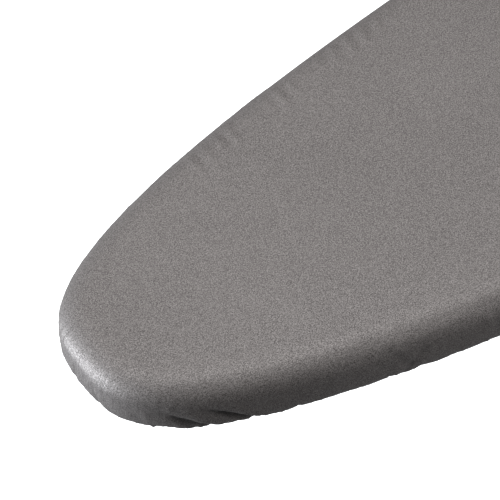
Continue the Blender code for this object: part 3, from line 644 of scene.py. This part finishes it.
def make_rim(paint):
    low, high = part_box("rim")
    radius = (high.z - low.z) / 2
    outline = Outline(560)
    path = outline.inset(RIM_INSET)
    ring = circle(radius, 28)
    rows = []
    for point, inward in zip(path, outline.inward):
        side = ring[:, :1] * np.array([inward[0], inward[1], 0])
        rows.append(np.array([point[0], point[1], RIM_Z]) + side + ring[:, 1:] * np.array([0, 0, 1]))
    add_piece("rim_tube", loop_mesh("rim_tube", rows), paint, "board", ("rim",))


DIAMOND_LENGTH = 0.024
DIAMOND_WIDTH = 0.012
STRAND_WIDTH = 0.0024
DECK_BORDER = 0.009


def make_deck(paint):
    """Expanded metal: a lattice of diamond openings over the whole deck."""
    low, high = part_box("mesh_top")

    def on_deck(x, y):
        s = x - NOSE_X
        if not DECK_BORDER < s < BOARD_LENGTH - DECK_BORDER:
            return False
        nearest = min(half_width(np.array([s - DECK_BORDER, min(s + DECK_BORDER, BOARD_LENGTH)])))
        return abs(y) < nearest - DECK_BORDER / 2

    corners, faces = {}, []
    across = int(BOARD_WIDTH / DIAMOND_WIDTH) + 1
    for i in range(int(BOARD_LENGTH / DIAMOND_LENGTH * 2) + 1):
        for j in range(-across, across + 1):
            if (i + j) % 2 == 0:
                continue
            diamond = [(i - 1, j), (i, j - 1), (i + 1, j), (i, j + 1)]
            places = [(NOSE_X + a * DIAMOND_LENGTH / 2, b * DIAMOND_WIDTH / 2) for a, b in diamond]
            if all(on_deck(x, y) for x, y in places):
                for corner, place in zip(diamond, places):
                    corners.setdefault(corner, (len(corners), place))
                faces.append([corners[corner][0] for corner in diamond])
    lattice = mesh_of("lattice", [(x, y, 0) for _, (x, y) in corners.values()], faces)
    sheet = linked("lattice", lattice)
    wire = sheet.modifiers.new("Strands", "WIREFRAME")
    wire.thickness = STRAND_WIDTH
    wire.use_even_offset = True
    wire.use_boundary = True
    graph = bpy.context.evaluated_depsgraph_get()
    mesh = bpy.data.meshes.new_from_object(sheet.evaluated_get(graph))
    bpy.data.objects.remove(sheet, do_unlink=True)
    points = np.empty(len(mesh.vertices) * 3)
    mesh.vertices.foreach_get("co", points)
    points = points.reshape(-1, 3)
    heights = points[:, 2]
    points[:, 2] = (low.z + high.z) / 2 + heights * (high.z - low.z) / (2 * np.abs(heights).max())
    mesh.vertices.foreach_set("co", points.ravel())
    mesh.update()
    add_piece("expanded_metal", mesh, paint, "board", ("mesh_top",), 30)


# Pieces kept from the CAD model: vertices welded, then edges bevelled or normals weighted


WELD_DISTANCE = 0.00002
SHEET_BEVEL = 0.0004
SMALL_BEVEL = 0.0003


def finish_node(name, material, bevel=0.0):
    """Give a CAD node its material and smooth shading, with its edges bevelled if a width is given."""
    node = NODES[name]
    mesh = node.data
    if "custom_normal" in mesh.attributes:
        mesh.attributes.remove(mesh.attributes["custom_normal"])
    mesh.materials.clear()
    mesh.materials.append(material)
    mesh.shade_smooth()
    weld = node.modifiers.new("Weld", "WELD")
    weld.merge_threshold = WELD_DISTANCE
    if bevel:
        edges = node.modifiers.new("Edges", "BEVEL")
        edges.width = bevel
        edges.segments = 2
        edges.limit_method = "ANGLE"
        edges.angle_limit = math.radians(40)
        edges.harden_normals = True
    else:
        normals = node.modifiers.new("Normals", "WEIGHTED_NORMAL")
        normals.mode = "FACE_AREA"
        normals.weight = 100


# Stand: weld beads, bolts, nuts, washers, glides and feet


TUBE_RADIUS = 0.011
BEAD_RADIUS = 0.0017
BEAD_LUMP = 0.22
BEAD_LUMPS = 17


def weld_bead(name, bar_middle, bar_radius, y, leg_way):
    """The lumpy bead where a leg tube meets a cross bar."""
    leg_way = np.array(leg_way)
    across = np.cross(leg_way, [0, 1, 0])
    points, radii = [], []
    for turn in np.linspace(0, 2 * math.pi, 90, endpoint=False):
        side = TUBE_RADIUS * math.sin(turn)
        out = math.sqrt(max(bar_radius**2 - side**2, 0))
        centre = np.array([bar_middle.x, y, bar_middle.z])
        points.append(centre + leg_way * out + across * side + np.array([0, TUBE_RADIUS * math.cos(turn), 0]))
        radii.append(BEAD_RADIUS * (1 + BEAD_LUMP * math.sin(turn * BEAD_LUMPS)))
    return swept(name, points, np.array(radii), 10, closed=True)


def make_welds(paint):
    crossing = middle_of("crossing_spacer_left")
    for body, legs, bars in (
        ("outer_leg", "outer_leg_left", ("outer_foot_bar",)),
        ("inner_leg", "inner_leg_left", ("inner_foot_bar", "slide_bar")),
    ):
        beads = []
        y = middle_of(legs).y
        for bar in bars:
            low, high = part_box(bar)
            middle = (low + high) / 2
            way = Vector((crossing.x - middle.x, 0, crossing.z - middle.z)).normalized()
            for side in (-y, y):
                beads.append(weld_bead("bead", middle, (high.z - low.z) / 2, side, way))
        add_piece(body + "_welds", joined(body + "_welds", beads), paint, body)


BOLT_SHANK = 0.003
BOLT_DOME = 0.003
BOLT_RIM = 0.0004
FASTENER_EDGE = 0.0006
NUT_COLLAR = 0.0010
WASHER_EDGE = 0.001
WASHER_GROOVE = 0.0012


def make_crossings(zinc, plastic):
    for side in ("left", "right"):
        bolt_low, bolt_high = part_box("crossing_bolt_" + side)
        outward_sign = 1 if side == "left" else -1
        x, z = middle_of("crossing_bolt_" + side).x, middle_of("crossing_bolt_" + side).z
        head_radius = (bolt_high.x - bolt_low.x) / 2
        ends = sorted((bolt_low.y, bolt_high.y), key=abs)
        length = abs(ends[1] - ends[0])
        dome_start = length - BOLT_DOME - BOLT_RIM
        profile = [(0, BOLT_SHANK - FASTENER_EDGE), (FASTENER_EDGE, BOLT_SHANK)]
        profile += [(dome_start, BOLT_SHANK), (dome_start, head_radius)]
        for a in np.linspace(0, 1.5, 8):
            profile.append((length - BOLT_DOME * (1 - math.sin(a)), head_radius * math.cos(a)))
        mesh = turned("crossing_bolt", profile, (x, ends[0], z), (0, outward_sign, 0))
        add_piece("dome_bolt_" + side, mesh, zinc, "outer_leg", ("crossing_bolt_" + side,))

        nut_low, nut_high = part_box("crossing_nut_" + side)
        radius, height = (nut_high.x - nut_low.x) / 2, nut_high.y - nut_low.y
        collar_start = height - NUT_COLLAR
        hexagon = [(0, radius - FASTENER_EDGE), (FASTENER_EDGE, radius)]
        hexagon += [(collar_start - FASTENER_EDGE, radius), (collar_start, radius - FASTENER_EDGE)]
        collar = [(collar_start, radius * 0.72), (height - 0.0002, radius * 0.70), (height, radius * 0.55)]
        nut_start = (x, nut_low.y if side == "right" else nut_high.y, z)
        way = (0, 1 if side == "right" else -1, 0)
        nut_parts = [turned("nut", hexagon, nut_start, way, 6), turned("collar", collar, nut_start, way)]
        nut = joined("lock_nut", nut_parts)
        add_piece("lock_nut_" + side, nut, zinc, "outer_leg", ("crossing_nut_" + side,))

        low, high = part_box("crossing_spacer_" + side)
        radius, height = (high.x - low.x) / 2, high.y - low.y
        groove = radius - WASHER_GROOVE
        profile = [(0, radius - WASHER_EDGE), (WASHER_EDGE, radius), (height * 0.35, radius)]
        profile += [(height * 0.45, groove), (height * 0.55, groove)]
        profile += [(height * 0.65, radius), (height - WASHER_EDGE, radius), (height, radius - WASHER_EDGE)]
        mesh = turned("spacer", profile, (x, low.y, z), (0, 1, 0))
        add_piece("washer_" + side, mesh, plastic, "outer_leg", ("crossing_spacer_" + side,))


GLIDE_RUN = 0.003
GLIDE_LIP = 0.002
GLIDE_EDGE = 0.0007


def make_glides(plastic):
    """Spools: a flange with eased edges at each end of a smooth running face."""
    for side in ("left", "right"):
        low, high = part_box("glide_" + side)
        x, z = (low.x + high.x) / 2, (low.z + high.z) / 2
        flange, length = (high.z - low.z) / 2, high.y - low.y
        half = [(0, flange - 0.0025), (GLIDE_EDGE / 2, flange - GLIDE_EDGE), (GLIDE_EDGE, flange)]
        half += [(GLIDE_LIP - GLIDE_EDGE, flange), (GLIDE_LIP, flange - GLIDE_EDGE)]
        half.append((GLIDE_LIP + 0.0004, flange - GLIDE_RUN))
        profile = half + [(length - along, radius) for along, radius in reversed(half)]
        mesh = turned("glide", profile, (x, low.y, z), (0, 1, 0), 64)
        add_piece("glide_spool_" + side, mesh, plastic, "inner_leg", ("glide_" + side,))


ARCH_POINTS = 25
FOOT_GROOVES = 5
FOOT_GROOVE_SIZE = 0.955
FOOT_ROUNDING = 0.006


def make_feet(rubber):
    """Moulded feet: round over the bar, flat on the floor, ribbed, with a rounded outer end."""
    for frame_name, body in (("outer", "outer_leg"), ("inner", "inner_leg")):
        axis_z = middle_of(frame_name + "_foot_bar").z
        for side, sign in (("left", 1), ("right", -1)):
            node = f"{frame_name}_foot_{side}"
            low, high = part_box(node)
            x, length = (low.x + high.x) / 2, high.y - low.y
            radius = high.z - axis_z
            inner = low.y if sign > 0 else high.y
            turns = np.linspace(0, math.pi, ARCH_POINTS)
            arch = [(radius * math.cos(a), radius * math.sin(a)) for a in turns]
            base = [(-radius, -axis_z + 0.003), (-radius + 0.001, -axis_z + 0.001)]
            base.append((-radius + 0.003, -axis_z))
            section = np.array(arch + base + [(-a, b) for a, b in reversed(base)])
            rings = []
            for along, size in foot_steps(length):
                ring = section * [size, size if size < 0.9 else 1.0]
                ring[:ARCH_POINTS] = section[:ARCH_POINTS] * size
                y = np.full(len(ring), inner + sign * along)
                rings.append(np.column_stack([x + ring[:, 0], y, axis_z + ring[:, 1]]))
            name = f"moulded_foot_{frame_name}_{side}"
            add_piece(name, lofted("foot", rings), rubber, body, (node,))


def foot_steps(length):
    """(distance, size) down a foot: a lip, five grooves and a rounded end."""
    steps = [(0, 0.90), (0.0006, 0.97), (0.0015, 1.0), (0.005, 1.0)]
    for groove in range(FOOT_GROOVES):
        at = 0.010 + groove * 0.005
        steps += [(at - 0.0010, 1.0), (at - 0.0006, FOOT_GROOVE_SIZE)]
        steps += [(at + 0.0006, FOOT_GROOVE_SIZE), (at + 0.0010, 1.0)]
    for a in np.linspace(0, 1.35, 7):
        steps.append((length - FOOT_ROUNDING * (1 - math.sin(a)), 1 - 0.42 * (1 - math.cos(a))))
    return steps


# Lock: spring and lever grip


SPRING_WIRE = 0.0006
SPRING_TURNS = 7
TURN_STEPS = 36


def make_spring(zinc):
    """A coil with its end turns closer together than its middle ones."""
    low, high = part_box("lock_spring")
    coil = (high.z - low.z) / 2 - SPRING_WIRE
    y, z = (low.y + high.y) / 2, (low.z + high.z) / 2
    path = []
    for i in range(SPRING_TURNS * TURN_STEPS + 1):
        share = i / (SPRING_TURNS * TURN_STEPS)
        eased = share - 0.055 * math.sin(2 * math.pi * share)
        angle = 2 * math.pi * i / TURN_STEPS
        x = low.x + SPRING_WIRE + (high.x - low.x - 2 * SPRING_WIRE) * eased
        path.append((x, y + coil * math.sin(angle), z + coil * math.cos(angle)))
    mesh = swept("coil_spring", path, SPRING_WIRE, 10)
    add_piece("coil_spring", mesh, zinc, "slide_carriage", ("lock_spring",))


LEVER_DROOP = math.radians(12)
GRIP_HALF_LENGTH = 0.0375
GRIP_HALF_HEIGHT = 0.007
GRIP_GROOVE = 0.0011


def make_grip(plastic):
    """The lever's grip: a rounded bar with shallow finger grooves under it."""
    low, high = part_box("lever_grip")
    middle = (low + high) / 2
    way = Vector((math.cos(LEVER_DROOP), 0, -math.sin(LEVER_DROOP)))
    up = Vector((math.sin(LEVER_DROOP), 0, math.cos(LEVER_DROOP)))
    half_wide = (high.y - low.y) / 2
    rings = []
    ends = np.array([0.93, 0.97, 0.99, 1])
    for share in np.concatenate([-ends[::-1], np.linspace(-0.86, 0.86, 45), ends]):
        ending = (1 - abs(share) ** 14) ** 0.5 if abs(share) < 1 else 0.12
        ending = max(ending, 0.3)
        groove = GRIP_GROOVE * (0.5 + 0.5 * math.cos(share * math.pi * 4)) * (abs(share) < 0.87)
        centre = middle + way * GRIP_HALF_LENGTH * share
        ring = []
        for turn in np.linspace(0, 2 * math.pi, 40, endpoint=False):
            wide = math.copysign(abs(math.cos(turn)) ** 0.6, math.cos(turn))
            tall = math.copysign(abs(math.sin(turn)) ** 0.75, math.sin(turn))
            lift = groove if tall < 0 else 0.0
            height = (GRIP_HALF_HEIGHT - lift) * tall * ending
            ring.append(tuple(centre + Vector((0, half_wide * wide * ending, 0)) + up * height))
        rings.append(ring)
    mesh = lofted("grip_moulding", rings)
    add_piece("grip_moulding", mesh, plastic, "lever", ("lever_grip",))


# Materials


class Graph:
    """A short way to build a node tree: add a node, with its inputs given by name or number."""

    def __init__(self, name):
        self.material = bpy.data.materials.new(name)
        self.material.use_nodes = True
        self.tree = self.material.node_tree
        self.shader = self.tree.nodes["Principled BSDF"]

    def add(self, kind, values=None, **properties):
        node = self.tree.nodes.new("ShaderNode" + kind)
        for key, value in properties.items():
            setattr(node, key, value)
        for key, value in (values or {}).items():
            self.put(node.inputs[key], value)
        return node

    def put(self, socket, value):
        if isinstance(value, bpy.types.NodeSocket):
            self.tree.links.new(value, socket)
        else:
            socket.default_value = value

    def set(self, **values):
        for key, value in values.items():
            self.put(self.shader.inputs[key.replace("_", " ")], value)

    def place(self):
        """Object coordinates, turned so that no flat face lies along the noise's own grid."""
        turned_place = self.add("Mapping", {"Vector": self.add("TexCoord").outputs["Object"]})
        turned_place.inputs["Rotation"].default_value = (0.61, 0.43, 0.29)
        return turned_place.outputs["Vector"]

    def noise(self, scale, detail=2.0, roughness=0.5, at=None):
        values = {"Vector": at or self.place(), "Scale": scale, "Detail": detail, "Roughness": roughness}
        return self.add("TexNoise", values).outputs["Fac"]

    def spread(self, value, low, high, to_low, to_high):
        values = {"Value": value, "From Min": low, "From Max": high, "To Min": to_low, "To Max": to_high}
        return self.add("MapRange", values).outputs["Result"]

    def colours(self, factor, *stops):
        ramp = self.add("ValToRGB", {"Fac": factor})
        elements = ramp.color_ramp.elements
        while len(elements) < len(stops):
            elements.new(0.5)
        for element, (position, colour) in zip(elements, stops):
            element.position = position
            element.color = (*colour, 1.0)
        return ramp.outputs["Color"]

    def bump(self, height, distance, strength=1.0, normal=None):
        values = {"Height": height, "Distance": distance, "Strength": strength}
        if normal is not None:
            values["Normal"] = normal
        return self.add("Bump", values).outputs["Normal"]


def metallised_fabric():
    """Silver-grey cotton with a fine metallic speckle; it puckers in fine lines where it is gathered. Its
    colour is darkened towards near-black in the tucks' grooves as painted shade.
    """
    graph = Graph("metallised_fabric")
    place = graph.place()
    grain = graph.noise(1500, 1.5, 0.8, place)
    mottle = graph.spread(graph.noise(9, 2.0, 0.5, place), 0.3, 0.7, -0.012, 0.012)
    tone = graph.add("Math", {0: grain, 1: mottle}, operation="ADD").outputs[0]
    colour = graph.colours(tone, (0.34, (0.049, 0.043, 0.042)), (0.66, (0.193, 0.179, 0.174)))
    band_place = graph.add("Attribute", attribute_name="band_place").outputs["Vector"]
    gathered = graph.add("Attribute", attribute_name="gathered").outputs["Fac"]
    stretched = graph.add("VectorMath", {0: band_place, 1: (1.0, 1.0, 0.10)}, operation="MULTIPLY").outputs[0]
    lines = graph.noise(330, 2.0, 0.6, stretched)
    pucker = graph.add("Math", {0: lines, 1: gathered}, operation="MULTIPLY").outputs[0]
    # Painted shade: the colour is mixed towards near-black along the tucks' grooves
    painted_shade = graph.add("Attribute", attribute_name="painted_shade").outputs["Fac"]
    painted_tuck_shade_colour = (0.02, 0.019, 0.018, 1.0)
    shaded = graph.add("Mix", {0: painted_shade, 6: colour, 7: painted_tuck_shade_colour}, data_type="RGBA").outputs[2]
    weave = graph.bump(grain, 0.0005, 0.45)
    puckered = graph.bump(pucker, 0.0020, 0.8, weave)
    creased = graph.bump(graph.noise(45, 4.0, 0.6, place), 0.0008, 0.15, puckered)
    rough = graph.spread(grain, 0.25, 0.75, 0.66, 0.48)
    graph.set(Base_Color=shaded, Metallic=0.45, Roughness=rough, Normal=creased)
    return graph.material


def felt():
    graph = Graph("needled_felt")
    fibres = graph.noise(700, 4.0, 0.75)
    clumps = graph.noise(60, 3.0, 0.6)
    tone = graph.add("Math", {0: fibres, 1: clumps}, operation="MULTIPLY").outputs[0]
    colour = graph.colours(tone, (0.12, (0.46, 0.43, 0.37)), (0.42, (0.80, 0.77, 0.70)))
    graph.set(Base_Color=colour, Roughness=0.95, Normal=graph.bump(fibres, 0.0012, 0.7))
    return graph.material


def elastic_tape():
    graph = Graph("elastic_tape")
    band = graph.noise(420, 2.0, 0.6)
    colour = graph.colours(band, (0.35, (0.045, 0.045, 0.048)), (0.65, (0.11, 0.11, 0.115)))
    graph.set(Base_Color=colour, Roughness=0.85, Normal=graph.bump(band, 0.0006, 0.8))
    return graph.material


def powder_paint(name, colour):
    """Powder coat: a little dirt in the film and a slightly uneven gloss."""
    graph = Graph(name)
    place = graph.place()
    film = graph.noise(14, 4.0, 0.65, place)
    darker = tuple(channel * 0.86 for channel in colour)
    tone = graph.colours(film, (0.35, darker), (0.65, colour))
    rough = graph.spread(film, 0.3, 0.7, 0.30, 0.44)
    graph.set(Base_Color=tone, Metallic=0.10, Roughness=rough)
    graph.set(Coat_Weight=0.2, Coat_Roughness=0.3)
    return graph.material


def zinc_plate():
    """Bright zinc: patches of slightly different grey, with fine rolling marks."""
    graph = Graph("zinc_plate")
    place = graph.place()
    patches = graph.noise(130, 3.0, 0.6, place)
    marks = graph.noise(1400, 1.0, 0.5, place)
    colour = graph.colours(patches, (0.35, (0.44, 0.45, 0.47)), (0.65, (0.66, 0.67, 0.68)))
    rough = graph.spread(patches, 0.3, 0.7, 0.24, 0.42)
    graph.set(Base_Color=colour, Metallic=1.0, Roughness=rough, Normal=graph.bump(marks, 0.0002, 0.3))
    return graph.material


def moulded_plastic(name, colour, roughness):
    """Moulded plastic: a spark-eroded grain and faint flow marks."""
    graph = Graph(name)
    place = graph.place()
    grain = graph.noise(1300, 2.0, 0.6, place)
    flow = graph.noise(35, 3.0, 0.5, place)
    lighter = tuple(channel * 1.5 for channel in colour)
    tone = graph.colours(flow, (0.35, colour), (0.70, lighter))
    rough = graph.spread(grain, 0.3, 0.7, roughness - 0.06, roughness + 0.08)
    graph.set(Base_Color=tone, Roughness=rough, Normal=graph.bump(grain, 0.0003, 0.5))
    return graph.material


# Stage


FLOOR_REACH = 30
FLOOR_GAP = 0.0005
FLOOR_GLOW = 0.55
WORLD_STRENGTH = 0.42


def make_stage():
    """A white floor for the camera, which throws little light back up at the board."""
    corners = [(x * FLOOR_REACH, y * FLOOR_REACH, 0) for x, y in ((-1, -1), (1, -1), (1, 1), (-1, 1))]
    floor_mesh = mesh_of("floor", corners, [(0, 1, 2, 3)])
    floor = bpy.data.objects.new("floor", floor_mesh)
    bpy.context.scene.collection.objects.link(floor)
    floor.location.z = CAD_LOW.z - FLOOR_GAP
    graph = Graph("floor_white")
    ray = graph.add("LightPath").outputs["Is Camera Ray"]
    seen = graph.add("BsdfDiffuse", {"Color": (0.9, 0.9, 0.9, 1.0)})
    unseen = graph.add("BsdfDiffuse", {"Color": (0.18, 0.18, 0.18, 1.0)})
    glow = graph.add("Emission", {"Color": (1.0, 1.0, 1.0, 1.0), "Strength": FLOOR_GLOW})
    lit = graph.add("AddShader", {0: seen.outputs[0], 1: glow.outputs[0]})
    mixed = graph.add("MixShader", {0: ray, 1: unseen.outputs[0], 2: lit.outputs[0]})
    output = graph.tree.nodes["Material Output"]
    graph.tree.links.new(mixed.outputs[0], output.inputs["Surface"])
    floor_mesh.materials.append(graph.material)


def make_light(name, location, target, size, power, colour=(1.0, 1.0, 1.0)):
    data = bpy.data.lights.new(name, "AREA")
    data.shape = "RECTANGLE"
    data.size, data.size_y = size
    data.energy = power
    data.color = colour
    light = bpy.data.objects.new(name, data)
    bpy.context.scene.collection.objects.link(light)
    light.location = location
    light.rotation_euler = (Vector(target) - Vector(location)).to_track_quat("-Z", "Y").to_euler()


def make_lights():
    world = bpy.data.worlds.new("soft_studio")
    bpy.context.scene.world = world
    world.use_nodes = True
    tree = world.node_tree
    background = tree.nodes["Background"]
    background.inputs["Color"].default_value = (1.0, 1.0, 1.0, 1.0)
    background.inputs["Strength"].default_value = WORLD_STRENGTH
    seen = tree.nodes.new("ShaderNodeBackground")
    seen.inputs["Color"].default_value = (1.0, 1.0, 1.0, 1.0)
    ray = tree.nodes.new("ShaderNodeLightPath")
    mix = tree.nodes.new("ShaderNodeMixShader")
    tree.links.new(ray.outputs["Is Camera Ray"], mix.inputs[0])
    tree.links.new(background.outputs[0], mix.inputs[1])
    tree.links.new(seen.outputs[0], mix.inputs[2])
    tree.links.new(mix.outputs[0], tree.nodes["World Output"].inputs["Surface"])
    middle = (NOSE_X + 0.4, 0, SURFACE_Z)
    tip = (NOSE_X, 0, SURFACE_Z)
    front = (NOSE_X + 0.2, 0, SURFACE_Z)
    make_light("key", (-0.2, 0.40, 3.0), middle, (2.2, 1.6), power=62)
    make_light("side", (-2.4, 1.0, 0.98), tip, (0.8, 0.6), power=112, colour=(0.90, 0.95, 1.0))
    make_light("raking", (1.6, -1.5, 1.0), front, (0.4, 0.4), power=30)


# Camera


CAMERA_AZIMUTH = -31.97
CAMERA_ELEVATION = 49.75
CAMERA_ROLL = -3.94
CAMERA_DISTANCE = 1.30
CAMERA_PIXELS_PER_METRE = 1666
CAMERA_TARGET = (0.1255, 0.0043)
PICTURE_PIXELS = 500


def make_camera():
    data = bpy.data.cameras.new("camera")
    camera = bpy.data.objects.new("camera", data)
    bpy.context.scene.collection.objects.link(camera)
    azimuth, elevation = math.radians(CAMERA_AZIMUTH), math.radians(CAMERA_ELEVATION)
    flat = math.cos(elevation)
    back = Vector((math.sin(azimuth) * flat, -math.cos(azimuth) * flat, math.sin(elevation)))
    target = Vector((NOSE_X + CAMERA_TARGET[0], CAMERA_TARGET[1], SURFACE_Z))
    camera.location = target + back * CAMERA_DISTANCE
    camera.rotation_mode = "QUATERNION"
    turn = Matrix.Rotation(math.radians(CAMERA_ROLL), 4, "Z").to_quaternion()
    camera.rotation_quaternion = (-back).to_track_quat("-Z", "Y") @ turn
    data.sensor_width = 36
    data.lens = CAMERA_PIXELS_PER_METRE * CAMERA_DISTANCE / PICTURE_PIXELS * data.sensor_width
    bpy.context.scene.camera = camera
    bpy.context.scene.view_settings.view_transform = "Standard"


def make_board():
    deck_paint = powder_paint("deck_paint", (0.70, 0.71, 0.72))
    cover, band, flat_size, flat_area = make_cover(metallised_fabric())
    hem = make_hem(elastic_tape(), band)
    pad = make_pad(felt())
    make_rim(deck_paint)
    make_deck(deck_paint)
    for name in NODES:
        if name.startswith(("cross_strap", "guide_rail", "hinge_bracket", "rod_bracket")):
            finish_node(name, deck_paint, SHEET_BEVEL)


def make_stand():
    leg_paint = powder_paint("leg_paint", (0.62, 0.63, 0.645))
    black = moulded_plastic("black_plastic", (0.022, 0.022, 0.024), 0.48)
    grey = moulded_plastic("grey_plastic", (0.15, 0.15, 0.16), 0.42)
    zinc = zinc_plate()
    for frame_name in ("outer", "inner"):
        for part in ("leg_left", "leg_right", "foot_bar"):
            finish_node(f"{frame_name}_{part}", leg_paint)
    for name in ("slide_bar", "lock_rod", "hinge_pin_left", "hinge_pin_right", "lever_pin"):
        finish_node(name, zinc, SMALL_BEVEL)
    for name in ("carriage_housing", "lock_plate", "release_lever"):
        finish_node(name, zinc, SMALL_BEVEL)
    for name in ("outer_plug_left", "outer_plug_right", "slide_plug_left", "slide_plug_right"):
        finish_node(name, black, SMALL_BEVEL)
    make_welds(leg_paint)
    make_crossings(zinc, black)
    make_glides(grey)
    make_feet(black)
    make_spring(zinc)
    make_grip(black)


make_board()
make_stand()
make_stage()
make_lights()
make_camera()
